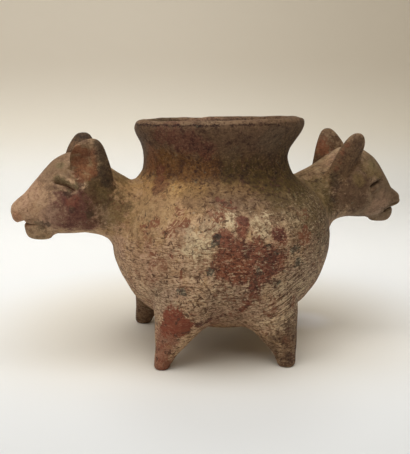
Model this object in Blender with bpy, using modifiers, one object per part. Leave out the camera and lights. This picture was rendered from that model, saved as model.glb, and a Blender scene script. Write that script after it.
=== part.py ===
"""Four-legged earthenware vase with an animal head on each side, built from hand-formed clay pieces.

Metres, +Z up. The origin is on the floor, under the axis of the vessel. +X points to the right head,
and the vase is seen from -Y. Every piece is luted to its neighbour with a thin layer of slip.
"""

import math

import bmesh
import bpy
from mathutils import Matrix, Vector

# Luting and wall
JOINT_GAP = 0.0003
WALL = 0.006
LAP = 0.004

# Globe of the body
BODY_RADIUS = 0.0613
BELLY_HEIGHT = 0.0135
BELLY_DEPTH = 0.0495
DOME_RISE = 0.050
BELLY_FULLNESS = 2.2
DOME_FULLNESS = 2.0

# Collar and lip
MOUTH_RADIUS = 0.0422
COLLAR_PINCH = 0.0025
COLLAR_HEIGHT = 0.0228
LIP_RADIUS = 0.0466
LIP_HEIGHT = 0.0060
LIP_THICKNESS = 0.0068
LIP_OVERHANG = 0.0008

# Legs
LEG_AZIMUTHS = {"front_left": 220, "front_right": 297, "rear_right": 42, "rear_left": 130}
LEG_INSET = {"front_left": 0.0045, "front_right": 0.0043, "rear_right": 0.0038, "rear_left": 0.0003}
LEG_ROOT_RADIUS = {"front_left": 0.0205, "front_right": 0.0180, "rear_right": 0.0185, "rear_left": 0.0185}
LEG_ROOT_RISE = 0.0205
LEG_LEAN = 0.0018
FOOT_RADIUS = 0.0050
FOOT_EDGE = 0.0008
LEG_FLARE = 1.3

# Necks
NECK_LENGTH = 0.005
NECK_ROOT_DEPTH = 0.020
NECK_ROOT_RISE = 0.0085
NECK_ROOT_DROP = 0.036
NECK_FLARE = 0.75
NECK_ROOT_HALF_WIDTH = 0.0255

# Heads, in a frame at the middle of the neck joint: reach along the snout, rise above it, half width
HEAD_RISE = 0.0238
HEAD_BACK_HALF_HEIGHT = 0.0203
HEAD_BACK_HALF_WIDTH = 0.0180
CROWN = (0.0130, 0.0250)
BROW = (0.0255, 0.0210)
BRIDGE = (0.0355, 0.0082)
NOSE_TOP = (0.0435, 0.0005)
SNOUT_TIP = (0.0475, -0.0052)
THROAT = (0.0120, -0.0176)
CHIN_ROOT = (0.0255, -0.0163)
LIP_ROOT = (0.0375, -0.0115)
NOSE_BASE = (0.0435, -0.0108)
CHEEK = (0.0120, 0.0190)
MUZZLE = (0.0290, 0.0128)
NOSE = (0.0435, 0.0062)

# Lower jaws, luted under the snout
JAW_REACH = (0.0205, 0.0405)
JAW_DEPTH = 0.0202
JAW_HALF_WIDTH = 0.0080
JAW_CRADLE = 0.0048
MOUTH_OPENING = 0.0014

# Eye slits
EYE_CENTRE = {"left": (0.0222, 0.0104), "right": (0.0240, 0.0056)}
EYE_LENGTH = 0.0140
EYE_WIDTH = 0.0036
EYE_DEPTH = 0.0018
EYE_SLOPE = 32

# Ears
EAR_FRONT = (0.0172, 0.0146, 0.0198)
EAR_REAR = (-0.0036, 0.0168, 0.0118)
EAR_TIP = (0.0052, 0.0176, 0.0338)
EAR_SINK = 0.0070
EAR_ROOT_THICKNESS = 0.0104
EAR_TIP_THICKNESS = 0.0044
EAR_HOLLOW = 0.0046
EAR_BLUNTNESS = 1.9

# Heights that follow from the sizes above
EQUATOR_HEIGHT = BELLY_HEIGHT + BELLY_DEPTH
LEG_ROOT_HEIGHT = BELLY_HEIGHT + LEG_ROOT_RISE
HEAD_AXIS_HEIGHT = EQUATOR_HEIGHT + HEAD_RISE
MOUTH_RISE = DOME_RISE * (1 - (MOUTH_RADIUS / BODY_RADIUS) ** DOME_FULLNESS) ** (1 / DOME_FULLNESS)
COLLAR_BASE_HEIGHT = EQUATOR_HEIGHT + MOUTH_RISE
COLLAR_TOP_HEIGHT = COLLAR_BASE_HEIGHT + COLLAR_HEIGHT
LIP_TOP_HEIGHT = COLLAR_TOP_HEIGHT + LIP_HEIGHT

# Facets
TURN_STEPS = 48
HEAD_SIDES = 24
HEAD_STATIONS = 13
NECK_STATIONS = 9
JAW_SIDES = 16
JAW_STATIONS = 8
EAR_SIDES = 20
EAR_STATIONS = 7
LEG_STATIONS = 9
WALL_POINTS = 9

# Fired clay colours, as linear RGB
BUFF_CLAY = (0.33, 0.21, 0.12)
RED_SLIP = (0.20, 0.075, 0.042)
BROWN_CLAY = (0.22, 0.135, 0.085)
CLAY_ROUGHNESS = 0.72


def clear_scene():
    for obj in list(bpy.data.objects):
        bpy.data.objects.remove(obj, do_unlink=True)


def new_collection(name):
    collection = bpy.data.collections.new(name)
    bpy.context.scene.collection.children.link(collection)
    return collection


def clay(name, colour):
    """A fired, unglazed clay surface."""
    material = bpy.data.materials.new(name)
    material.use_nodes = True
    shader = material.node_tree.nodes["Principled BSDF"]
    shader.inputs["Base Color"].default_value = (*colour, 1.0)
    shader.inputs["Roughness"].default_value = CLAY_ROUGHNESS
    shader.inputs["Metallic"].default_value = 0.0
    return material


def add_object(name, mesh, collection, material=None, parent=None):
    obj = bpy.data.objects.new(name, mesh)
    collection.objects.link(obj)
    obj.parent = parent
    if material:
        mesh.materials.append(material)
        mesh.shade_smooth()
        mesh.set_sharp_from_angle(angle=math.radians(40))
    return obj


def add_empty(name, collection, matrix, parent=None):
    empty = bpy.data.objects.new(name, None)
    collection.objects.link(empty)
    empty.parent = parent
    empty.matrix_local = matrix
    return empty


def hide_cutter(obj):
    obj.hide_render = True
    obj.display_type = "WIRE"


def cut(obj, cutter):
    modifier = obj.modifiers.new("cut_by_" + cutter.name, "BOOLEAN")
    modifier.operation = "DIFFERENCE"
    modifier.object = cutter


def bezier(start, handle_a, handle_b, end, count):
    """Points of one cubic Bezier curve, both ends included."""
    points = []
    for i in range(count + 1):
        t = i / count
        weights = ((1 - t) ** 3, 3 * t * (1 - t) ** 2, 3 * t * t * (1 - t), t ** 3)
        corners = (start, handle_a, handle_b, end)
        points.append(tuple(sum(w * c[k] for w, c in zip(weights, corners)) for k in range(2)))
    return points


def guide(points, reach):
    """Height at a reach on a smooth line through a few points, by cubic Hermite pieces with secant slopes."""
    reach = min(max(reach, points[0][0]), points[-1][0])
    slopes = []
    for i in range(len(points)):
        before = points[max(i - 1, 0)]
        after = points[min(i + 1, len(points) - 1)]
        slopes.append((after[1] - before[1]) / (after[0] - before[0]))
    i = max(k for k in range(len(points) - 1) if points[k][0] <= reach)
    (x0, y0), (x1, y1) = points[i], points[i + 1]
    span = x1 - x0
    t = (reach - x0) / span
    return (
        (1 + 2 * t) * (1 - t) ** 2 * y0
        + t * (1 - t) ** 2 * span * slopes[i]
        + t * t * (3 - 2 * t) * y1
        + t * t * (t - 1) * span * slopes[i + 1]
    )


def globe_turn(height, inset):
    """Angle above the equator at which the globe's wall, inset from its outer face, reaches a height."""
    rise = height - EQUATOR_HEIGHT
    size = (DOME_RISE if rise > 0 else BELLY_DEPTH) - inset
    power = DOME_FULLNESS if rise > 0 else BELLY_FULLNESS
    share = min(abs(rise) / size, 1.0)
    return math.copysign(math.asin(share ** (power / 2)), rise)


def globe_point(turn, inset):
    """Radius and height on the globe: a superellipse with its own fullness above and below the equator."""
    size = (DOME_RISE if turn > 0 else BELLY_DEPTH) - inset
    power = DOME_FULLNESS if turn > 0 else BELLY_FULLNESS
    radius = (BODY_RADIUS - inset) * max(math.cos(turn), 0.0) ** (2 / power)
    rise = size * abs(math.sin(turn)) ** (2 / power)
    return radius, EQUATOR_HEIGHT + math.copysign(rise, turn)


def globe_wall(top, bottom, inset, count):
    """Points on the globe's wall from one height down to another."""
    start, end = globe_turn(top, inset), globe_turn(bottom, inset)
    return [globe_point(start + (end - start) * i / count, inset) for i in range(count + 1)]


def globe_height(radius, inset):
    """Height of the upper half of the globe's wall at a radius."""
    share = radius / (BODY_RADIUS - inset)
    return EQUATOR_HEIGHT + (DOME_RISE - inset) * (1 - share ** DOME_FULLNESS) ** (1 / DOME_FULLNESS)


def collar_wall(inset, count):
    """Points on the concave collar from its top down to the shoulder."""
    base = (MOUTH_RADIUS - inset, COLLAR_BASE_HEIGHT)
    top = (LIP_RADIUS - LIP_OVERHANG - inset, COLLAR_TOP_HEIGHT)
    waist = MOUTH_RADIUS - COLLAR_PINCH - inset
    low = (waist - LIP_OVERHANG, base[1] + 0.17 * COLLAR_HEIGHT)
    high = (waist - LIP_OVERHANG, base[1] + 0.58 * COLLAR_HEIGHT)
    return bezier(top, high, low, base, count)


def lip_section():
    """Closed section of the lip: a round outer bead, a flat top and a softened inner edge."""
    outer_base = collar_wall(0, WALL_POINTS)[0]
    inner_base = collar_wall(WALL, WALL_POINTS)[0]
    height = LIP_HEIGHT
    joint = COLLAR_TOP_HEIGHT + JOINT_GAP
    flat_outer = LIP_RADIUS - 0.45 * LIP_THICKNESS
    inner_edge = LIP_RADIUS - LIP_THICKNESS
    bead = bezier(
        (flat_outer, LIP_TOP_HEIGHT),
        (LIP_RADIUS - 0.1 * LIP_THICKNESS, LIP_TOP_HEIGHT - 0.1 * height),
        (LIP_RADIUS + 0.18 * LIP_THICKNESS, COLLAR_TOP_HEIGHT + 0.55 * height),
        (outer_base[0], joint),
        6,
    )
    inside = bezier(
        (inner_base[0], joint),
        (inner_base[0] + 0.1 * WALL, COLLAR_TOP_HEIGHT + 0.5 * height),
        (inner_edge, LIP_TOP_HEIGHT - 0.1 * height),
        (inner_edge + 0.2 * LIP_THICKNESS, LIP_TOP_HEIGHT),
        4,
    )
    return bead + inside


def turned(name, section, collection, material=None, parent=None):
    """A closed section at +X, turned about the vessel's axis."""
    count = len(section)
    mesh = bpy.data.meshes.new(name)
    edges = [(i, (i + 1) % count) for i in range(count)]
    on_axis = section[0][0] == 0 or section[-1][0] == 0
    if on_axis and section[0][0] == section[-1][0]:
        edges.pop()
    mesh.from_pydata([(radius, 0, height) for radius, height in section], edges, [])
    obj = add_object(name, mesh, collection, material, parent)
    screw = obj.modifiers.new("turn", "SCREW")
    screw.axis = "Z"
    screw.angle = 2 * math.pi
    screw.steps = TURN_STEPS
    screw.render_steps = TURN_STEPS
    screw.use_merge_vertices = True
    screw.merge_threshold = 0.00001
    screw.use_smooth_shade = True
    return obj


def mouth_joint():
    """Outer and inner edge of the bevelled joint between the shoulder and the collar."""
    outer = collar_wall(0, WALL_POINTS)[-1]
    inner_radius = outer[0] - WALL
    return outer, (inner_radius, globe_height(inner_radius, WALL))


def make_lower_bowl(collection, material, parent):
    """Pinched bowl up to the equator, with its lip bevelled down and outwards for the shoulder."""
    outer = globe_wall(EQUATOR_HEIGHT - LAP, BELLY_HEIGHT, 0, WALL_POINTS + 3)
    inner = globe_wall(EQUATOR_HEIGHT, BELLY_HEIGHT + WALL, WALL, WALL_POINTS + 3)
    section = outer[:-1] + [(0.0, BELLY_HEIGHT), (0.0, BELLY_HEIGHT + WALL)] + inner[-2::-1]
    obj = turned("lower_bowl", section, collection, material, parent)
    open_the_axis(obj, section)
    return obj


def open_the_axis(obj, section):
    """Takes out the edge that runs along the axis, so that only the two poles close the wall there."""
    mesh = obj.data
    shaped = bmesh.new()
    shaped.from_mesh(mesh)
    axis = [e for e in shaped.edges if all(abs(v.co.x) < 1e-9 for v in e.verts)]
    bmesh.ops.delete(shaped, geom=axis, context="EDGES")
    shaped.to_mesh(mesh)
    shaped.free()


def make_shoulder(collection, material, parent):
    """Dome coiled up from the bowl to the mouth."""
    (_, outer_top), (inner_radius, inner_top) = mouth_joint()
    outer = globe_wall(outer_top, EQUATOR_HEIGHT - LAP + JOINT_GAP, 0, WALL_POINTS)
    inner = globe_wall(inner_top, EQUATOR_HEIGHT + JOINT_GAP, WALL, WALL_POINTS)
    return turned("shoulder", outer + inner[::-1], collection, material, parent)


def make_collar(collection, material, parent):
    """Concave flaring collar, seated on the bevelled mouth of the shoulder."""
    (_, _), (inner_radius, inner_base) = mouth_joint()
    outer = collar_wall(0, WALL_POINTS)
    inner = collar_wall(WALL, WALL_POINTS)
    section = outer[:-1] + [(outer[-1][0], outer[-1][1] + JOINT_GAP)]
    section += [(inner_radius, inner_base + JOINT_GAP)] + inner[-2::-1]
    return turned("neck_collar", section, collection, material, parent)


def make_lip(collection, material, parent):
    """Coil of clay that thickens the mouth, rounded outside and wiped flat on top."""
    return turned("rim_lip", lip_section(), collection, material, parent)


def make_vessel_cutter(collection):
    """The vessel's outer shape with a layer of slip on it, which legs and necks are cut to."""
    collar = [(r + JOINT_GAP, z) for r, z in collar_wall(0, WALL_POINTS)]
    globe = globe_wall(COLLAR_BASE_HEIGHT, BELLY_HEIGHT - JOINT_GAP, -JOINT_GAP, 2 * WALL_POINTS)
    section = [(0.0, COLLAR_TOP_HEIGHT)] + collar[:-1] + globe[:-1]
    section.append((0.0, BELLY_HEIGHT - JOINT_GAP))
    obj = turned("vessel_cutter", section, collection)
    hide_cutter(obj)
    return obj


def mesh_from_curve(curve_object, name):
    """A closed mesh of a bevelled curve, with its caps welded on. The curve is removed."""
    bpy.context.view_layer.update()
    graph = bpy.context.evaluated_depsgraph_get()
    mesh = bpy.data.meshes.new_from_object(curve_object.evaluated_get(graph))
    mesh.name = name
    shaped = bmesh.new()
    shaped.from_mesh(mesh)
    bmesh.ops.remove_doubles(shaped, verts=shaped.verts, dist=0.00001)
    bmesh.ops.recalc_face_normals(shaped, faces=shaped.faces)
    shaped.to_mesh(mesh)
    shaped.free()
    bpy.data.objects.remove(curve_object, do_unlink=True)
    return mesh


def make_leg(place, collection, material, parent, cutter):
    """Conical leg, nearly plumb outside: a tube that widens and leans in as it rises to the bowl."""
    name = place + "_leg"
    azimuth, reach, root = LEG_AZIMUTHS[place], BODY_RADIUS - LEG_INSET[place], LEG_ROOT_RADIUS[place]
    curve = bpy.data.curves.new(name + "_core", "CURVE")
    curve.dimensions = "3D"
    curve.bevel_depth = 1.0
    curve.bevel_resolution = 5
    curve.use_fill_caps = True
    spline = curve.splines.new("POLY")
    stations = [(0.0, FOOT_RADIUS - FOOT_EDGE), (FOOT_EDGE, FOOT_RADIUS)]
    for i in range(1, LEG_STATIONS + 1):
        share = i / LEG_STATIONS
        height = FOOT_EDGE + (LEG_ROOT_HEIGHT - FOOT_EDGE) * share
        stations.append((height, FOOT_RADIUS + (root - FOOT_RADIUS) * share ** LEG_FLARE))
    spline.points.add(len(stations) - 1)
    for point, (height, radius) in zip(spline.points, stations):
        lean = max(radius, FOOT_RADIUS) + LEG_LEAN * max(height - FOOT_EDGE, 0) / LEG_ROOT_HEIGHT
        point.co = (reach - lean, 0.0, height, 1.0)
        point.radius = radius
    core = bpy.data.objects.new(name + "_core", curve)
    collection.objects.link(core)
    frame = add_empty(name + "_frame", collection, Matrix.Rotation(math.radians(azimuth), 4, "Z"), parent)
    obj = add_object(name, mesh_from_curve(core, name), collection, material, frame)
    cut(obj, cutter)
    return obj


def ring_loft(name, stations, sides):
    """A closed mesh through upright oval rings: (reach, middle height, half width, half height) each."""
    shaped = bmesh.new()
    rings = []
    for reach, middle, half_width, half_height in stations:
        place = Matrix.Translation((reach, 0, middle))
        turn = Matrix.Rotation(math.radians(90), 4, "Y")
        size = Matrix.Diagonal((half_height, half_width, 1, 1))
        made = bmesh.ops.create_circle(shaped, segments=sides, radius=1, matrix=place @ turn @ size)
        rings.append(list({edge for vert in made["verts"] for edge in vert.link_edges}))
    for first, second in zip(rings, rings[1:]):
        bmesh.ops.bridge_loops(shaped, edges=first + second)
    for end in (rings[0], rings[-1]):
        bmesh.ops.contextual_create(shaped, geom=end)
    bmesh.ops.recalc_face_normals(shaped, faces=shaped.faces)
    mesh = bpy.data.meshes.new(name)
    shaped.to_mesh(mesh)
    shaped.free()
    return mesh


def head_section(reach, grow):
    """The head's oval at a reach from the neck joint: top line, underside and cheeks are smooth guides."""
    top = guide([(0, HEAD_BACK_HALF_HEIGHT), CROWN, BROW, BRIDGE, NOSE_TOP, SNOUT_TIP], reach)
    under = guide([(0, -HEAD_BACK_HALF_HEIGHT), THROAT, CHIN_ROOT, LIP_ROOT, NOSE_BASE, SNOUT_TIP], reach)
    side = guide([(0, HEAD_BACK_HALF_WIDTH), CHEEK, MUZZLE, NOSE, (SNOUT_TIP[0], 0)], reach)
    return reach, (top + under) / 2, side + grow, (top - under) / 2 + grow


def head_stations(grow):
    """Rings of the head, closer together towards the tip of the snout."""
    last = 0.985
    shares = [last * math.sin(math.pi / 2 * i / HEAD_STATIONS) ** 0.9 for i in range(HEAD_STATIONS + 1)]
    return [head_section(SNOUT_TIP[0] * share, grow) for share in shares]


def make_head(name, collection, material, frame):
    """Solid head with a gouged eye slit on each cheek."""
    obj = add_object(name, ring_loft(name, head_stations(0), HEAD_SIDES), collection, material, frame)
    return obj


def make_eye_cutter(name, centre, side, collection, frame):
    """A round-ended gouge laid along the cheek, its rear end lower."""
    reach, rise = centre
    _, middle, half_width, half_height = head_section(reach, 0)
    surface = half_width * math.sqrt(1 - ((rise - middle) / half_height) ** 2)
    shaped = bmesh.new()
    bmesh.ops.create_uvsphere(shaped, u_segments=12, v_segments=8, radius=1)
    mesh = bpy.data.meshes.new(name)
    shaped.to_mesh(mesh)
    shaped.free()
    obj = add_object(name, mesh, collection, None, frame)
    cheek_turn = math.atan2(head_section(reach + EYE_LENGTH / 2, 0)[2] - half_width, EYE_LENGTH / 2)
    place = Matrix.Translation((reach, side * surface, rise))
    turn = Matrix.Rotation(side * cheek_turn, 4, "Z") @ Matrix.Rotation(-math.radians(EYE_SLOPE), 4, "Y")
    obj.matrix_local = place @ turn @ Matrix.Diagonal((EYE_LENGTH / 2, EYE_DEPTH, EYE_WIDTH / 2, 1))
    hide_cutter(obj)
    return obj


def make_head_cutter(name, collection, frame):
    """The head and the neck behind it with a layer of slip on them, which the ears and jaw are cut to."""
    stations = neck_stations(JOINT_GAP)[NECK_STATIONS // 3:] + head_stations(JOINT_GAP)[1:]
    obj = add_object(name, ring_loft(name, stations, HEAD_SIDES), collection, None, frame)
    hide_cutter(obj)
    return obj


def neck_stations(grow):
    """Rings of the neck from its root inside the globe's side to the head's back, where it is slimmest."""
    stations = []
    for i in range(NECK_STATIONS + 1):
        share = i / NECK_STATIONS
        flare = (1 - share) ** 1.5
        drop = (1 - share) ** NECK_FLARE
        reach = -NECK_ROOT_DEPTH + (NECK_ROOT_DEPTH - JOINT_GAP) * share
        top = HEAD_BACK_HALF_HEIGHT + (NECK_ROOT_RISE - HEAD_BACK_HALF_HEIGHT) * (1 - share)
        under = -HEAD_BACK_HALF_HEIGHT - (NECK_ROOT_DROP - HEAD_BACK_HALF_HEIGHT) * drop
        side = HEAD_BACK_HALF_WIDTH + (NECK_ROOT_HALF_WIDTH - HEAD_BACK_HALF_WIDTH) * flare
        stations.append((reach, (top + under) / 2, side + grow, (top - under) / 2 + grow))
    return stations


def make_neck(name, collection, material, frame, cutter):
    """Short thick neck that flares from the head's back onto the side of the globe."""
    obj = add_object(name, ring_loft(name, neck_stations(0), HEAD_SIDES), collection, material, frame)
    cut(obj, cutter)
    return obj


def make_jaw(name, collection, material, frame, cutter):
    """Pellet of clay luted under the snout: it cradles the snout behind, and its front end is free of the lip."""
    rear, front = JAW_REACH
    stations = []
    for i in range(JAW_STATIONS + 1):
        share = (1 - math.cos(math.pi * (0.03 + 0.94 * i / JAW_STATIONS))) / 2
        reach = rear + (front - rear) * share
        swell = math.sqrt(max(1 - (2 * share - 1) ** 2, 0))
        _, middle, _, half_height = head_section(reach, 0)
        lip = middle - half_height
        top = lip + JAW_CRADLE - (MOUTH_OPENING + JAW_CRADLE) * share ** 3
        under = lip + (-JAW_DEPTH - lip) * swell ** 0.6
        half_height = max((top - under) / 2, 0.1 * JAW_HALF_WIDTH)
        stations.append((reach, (top + under) / 2, JAW_HALF_WIDTH * swell ** 0.6, half_height))
    obj = add_object(name, ring_loft(name, stations, JAW_SIDES), collection, material, frame)
    cut(obj, cutter)
    return obj


def make_ear(name, side, collection, material, frame, cutter):
    """Upright leaf of clay, thumbed hollow on its outer side, with its root pressed over the crown."""
    mirror = Matrix.Diagonal((1, side, 1, 1))
    front, rear, tip = (mirror @ Vector(p) for p in (EAR_FRONT, EAR_REAR, EAR_TIP))
    along = (front - rear).normalized()
    middle = (front + rear) / 2
    lean = (tip - middle).dot(along)
    up = (tip - middle - lean * along).normalized()
    out = along.cross(up) * -side
    height = (tip - middle).dot(up)
    half_root = (front - rear).length / 2
    stations = []
    for i in range(EAR_STATIONS + 1):
        share = i / EAR_STATIONS
        rise = -EAR_SINK + (height + EAR_SINK) * share
        open_share = max(rise, 0) / height
        half_length = max(half_root * (1 - open_share ** EAR_BLUNTNESS) ** 0.6, 0.2 * half_root)
        thick = EAR_ROOT_THICKNESS + (EAR_TIP_THICKNESS - EAR_ROOT_THICKNESS) * share
        stations.append((rise, lean * open_share, half_length, thick / 2))
    mesh = leaf_loft(name, stations, height)
    basis = Matrix((along, out, up)).transposed().to_4x4()
    mesh.transform(Matrix.Translation(middle) @ basis)
    fix_normals(mesh)
    obj = add_object(name, mesh, collection, material, frame)
    cut(obj, cutter)
    return obj


def leaf_loft(name, stations, height):
    """A closed mesh through flat ovals stacked in Z. The +Y side sinks as a bell curve, a little in front of the
    middle, and the hollow fades out at the tip and at the root."""
    shaped = bmesh.new()
    rings = []
    for rise, lean, half_length, half_thick in stations:
        size = Matrix.Diagonal((half_length, half_thick, 1, 1))
        made = bmesh.ops.create_circle(shaped, segments=EAR_SIDES, radius=1, matrix=size)
        depth = EAR_HOLLOW * math.sin(math.pi * min(max(rise / height, 0), 1)) ** 0.7
        for vert in made["verts"]:
            forward = vert.co.x / half_length - 0.3
            outer = max(vert.co.y / half_thick, 0)
            vert.co.y -= outer * depth * math.exp(-(forward / (0.45 if forward < 0 else 1)) ** 2)
            vert.co += Vector((lean, 0, rise))
        rings.append(list({edge for vert in made["verts"] for edge in vert.link_edges}))
    for first, second in zip(rings, rings[1:]):
        bmesh.ops.bridge_loops(shaped, edges=first + second)
    for end in (rings[0], rings[-1]):
        bmesh.ops.contextual_create(shaped, geom=end)
    mesh = bpy.data.meshes.new(name)
    shaped.to_mesh(mesh)
    shaped.free()
    return mesh


def fix_normals(mesh):
    shaped = bmesh.new()
    shaped.from_mesh(mesh)
    bmesh.ops.recalc_face_normals(shaped, faces=shaped.faces)
    shaped.to_mesh(mesh)
    shaped.free()


def make_animal(side_name, turn, parts, cutters, clays, parent, vessel_cutter):
    """Neck, head, jaw and two ears on one side of the vase, in a frame at the neck joint."""
    place = Matrix.Rotation(math.radians(turn), 4, "Z")
    joint = Matrix.Translation((BODY_RADIUS + NECK_LENGTH, 0, HEAD_AXIS_HEIGHT))
    frame = add_empty(side_name + "_head_frame", parts, place @ joint, parent)
    make_neck(side_name + "_neck", parts, clays["buff"], frame, vessel_cutter)
    head = make_head(side_name + "_head", parts, clays["brown"], frame)
    head_cutter = make_head_cutter(side_name + "_head_cutter", cutters, frame)
    for ear_name, side in (("near", -1), ("far", 1)):
        ear_side = side if turn == 0 else -side
        eye_name = f"{side_name}_{ear_name}_eye_cutter"
        eye = make_eye_cutter(eye_name, EYE_CENTRE[side_name], ear_side, cutters, frame)
        cut(head, eye)
        make_ear(f"{side_name}_{ear_name}_ear", ear_side, parts, clays["brown"], frame, head_cutter)
    make_jaw(side_name + "_jaw", parts, clays["brown"], frame, head_cutter)


def main():
    clear_scene()
    parts = new_collection("four_legged_vase")
    cutters = new_collection("cutters")
    clays = {
        "buff": clay("buff_clay", BUFF_CLAY),
        "red": clay("red_slip", RED_SLIP),
        "brown": clay("brown_clay", BROWN_CLAY),
    }
    root = add_empty("vase_frame", parts, Matrix.Identity(4))
    make_lower_bowl(parts, clays["buff"], root)
    make_shoulder(parts, clays["buff"], root)
    make_collar(parts, clays["brown"], root)
    make_lip(parts, clays["brown"], root)
    vessel_cutter = make_vessel_cutter(cutters)
    for place in LEG_AZIMUTHS:
        make_leg(place, parts, clays["red"], root, vessel_cutter)
    make_animal("right", 0, parts, cutters, clays, root, vessel_cutter)
    make_animal("left", 180, parts, cutters, clays, root, vessel_cutter)


main()
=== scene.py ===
import math

import bpy
import numpy as np
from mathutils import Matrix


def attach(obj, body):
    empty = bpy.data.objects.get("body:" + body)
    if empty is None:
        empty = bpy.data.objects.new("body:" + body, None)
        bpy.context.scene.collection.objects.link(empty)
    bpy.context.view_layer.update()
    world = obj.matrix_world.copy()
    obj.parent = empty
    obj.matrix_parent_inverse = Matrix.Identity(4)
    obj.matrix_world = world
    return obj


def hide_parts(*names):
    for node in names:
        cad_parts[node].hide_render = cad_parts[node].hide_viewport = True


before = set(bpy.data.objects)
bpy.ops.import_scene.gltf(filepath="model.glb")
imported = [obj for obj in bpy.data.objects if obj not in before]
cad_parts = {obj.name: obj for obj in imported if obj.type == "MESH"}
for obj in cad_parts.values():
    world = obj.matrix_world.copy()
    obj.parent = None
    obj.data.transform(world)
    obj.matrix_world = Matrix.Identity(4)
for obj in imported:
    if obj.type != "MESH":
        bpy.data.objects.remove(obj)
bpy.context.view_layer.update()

# Lower bowl
# The lower half of the globe, pinched from coarse buff clay, paddled round and rubbed with a pebble. It
# carries all the rest: the legs are luted under it, and the shoulder is coiled up from its bevelled lip.

GLOBE_RADIUS = 0.0613
EQUATOR = 0.0630
BELLY_DEPTH = 0.0495
BELLY_FULLNESS = 2.2
DOME_RISE = 0.0500
DOME_FULLNESS = 2.0
WALL = 0.0060
LAP = 0.0040
BOTTOM_INSIDE, BOTTOM_OUTSIDE = -1.54, -1.555
BOWL_ROWS_INSIDE, BOWL_ROWS_OUTSIDE = 46, 110
ROUND = 280
UP = np.array([0.0, 0.0, 1.0])
VIEW_TURN = math.radians(15.9)
SIDEWAYS = np.array([math.cos(VIEW_TURN), -math.sin(VIEW_TURN), 0.0])
DEEPER = np.array([math.sin(VIEW_TURN), math.cos(VIEW_TURN), 0.0])
FLANK_PUSH, FLANK_BREADTH = 0.0026, 0.021
FLANK_MIDDLE = -0.050 * SIDEWAYS + 0.036 * UP
FLANK_HEADING = SIDEWAYS + 0.3 * UP
NOTCH_PUSH, NOTCH_BREADTH = 0.0024, 0.0055
NOTCH_IN_VIEW = np.array([0.046, 0.0965])
WAVES = ((0.052, 0.00050), (0.021, 0.00016), (0.009, 0.00007))
CALM_BELOW = 0.010


def full_turn(count):
    """Even steps once round, in radians; the last step, which would repeat the first, is left out."""
    return np.linspace(0, 2 * math.pi, count, endpoint=False)


def globe_skin(azimuth, lift, inset):
    """Points on the globe's wall: a superellipse turned about Z, with its own height and fullness above and
    below the equator. lift is the angle above the equator, and inset moves the wall inwards."""
    above = lift > 0
    fullness = np.where(above, DOME_FULLNESS, BELLY_FULLNESS)
    tall = np.where(above, DOME_RISE, BELLY_DEPTH) - inset
    radius = (GLOBE_RADIUS - inset) * np.cos(lift) ** (2 / fullness)
    height = EQUATOR + np.sign(lift) * tall * np.abs(np.sin(lift)) ** (2 / fullness)
    return np.stack([radius * np.cos(azimuth), radius * np.sin(azimuth), height + 0 * azimuth], -1)


def globe_lift(height, inset):
    """Angle above the equator at which the globe's wall passes a height: the superellipse read backwards."""
    rise = height - EQUATOR
    tall, fullness = (DOME_RISE, DOME_FULLNESS) if rise > 0 else (BELLY_DEPTH, BELLY_FULLNESS)
    return math.copysign(math.asin((abs(rise) / (tall - inset)) ** (fullness / 2)), rise)


def hand_worked(points):
    """Unevenness of hand-built clay: a broad push on the left flank and a small one where the collar meets
    the right neck, which fade as bell curves, and slow waves in space, so that pieces which touch move
    together. It dies away at the floor, where the feet are flat."""
    draw = np.random.default_rng(11)
    moved = points.copy()
    off_flank = ((points - FLANK_MIDDLE) ** 2).sum(-1)[..., None]
    moved += FLANK_PUSH * np.exp(-off_flank / (2 * FLANK_BREADTH ** 2)) * FLANK_HEADING
    in_view = np.stack([points @ SIDEWAYS, points[..., 2]], -1)
    off_notch = ((in_view - NOTCH_IN_VIEW) ** 2).sum(-1)[..., None]
    moved -= NOTCH_PUSH * np.exp(-off_notch / (2 * NOTCH_BREADTH ** 2)) * SIDEWAYS
    for wave_length, depth in WAVES:
        heading = draw.normal(size=(5, 3))
        heading /= np.linalg.norm(heading, axis=1, keepdims=True)
        push = draw.normal(size=(5, 3))
        push /= np.linalg.norm(push, axis=1, keepdims=True)
        phase = draw.uniform(0, 2 * math.pi, 5)
        moved += depth * np.sin(points @ heading.T * (2 * math.pi / wave_length) + phase) @ push
    standing = np.clip(points[..., 2:] / CALM_BELOW, 0, 1) ** 2
    return points + standing * (moved - points)


def clay_piece(name, points, ring=False):
    """A closed skin over a grid of points. The columns close round; the rows close too on a ring, and
    otherwise each end row is drawn together at its middle. Where the volume enclosed, a sum of triple
    products, is negative, the faces are flipped."""
    rows, columns = points.shape[:2]
    spots = points.reshape(-1, 3)
    index = np.arange(rows * columns).reshape(rows, columns)
    low, high = (index, np.roll(index, -1, 0)) if ring else (index[:-1], index[1:])
    quads = np.stack([low, np.roll(low, -1, 1), np.roll(high, -1, 1), high], -1).reshape(-1, 4)
    fans = np.zeros((0, 3), int)
    if not ring:
        spots = np.concatenate([spots, points[[0, -1]].mean(1)])
        first, last = np.full(columns, rows * columns), np.full(columns, rows * columns + 1)
        top = np.stack([first, np.roll(index[0], -1), index[0]], -1)
        bottom = np.stack([last, index[-1], np.roll(index[-1], -1)], -1)
        fans = np.concatenate([top, bottom])
    a, b, c, d = (spots[quads[:, k]] for k in range(4))
    volume = (a * (np.cross(b, c) + np.cross(c, d))).sum()
    if len(fans):
        e, f, g = (spots[fans[:, k]] for k in range(3))
        volume += (e * np.cross(f, g)).sum()
    if volume < 0:
        quads, fans = quads[:, ::-1], fans[:, ::-1]
    mesh = bpy.data.meshes.new(name)
    mesh.from_pydata(spots.tolist(), [], quads.tolist() + fans.tolist())
    mesh.validate()
    mesh.shade_smooth()
    mesh.set_sharp_from_angle(angle=math.radians(50))
    piece = bpy.data.objects.new(name, mesh)
    bpy.context.scene.collection.objects.link(piece)
    return piece


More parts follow.
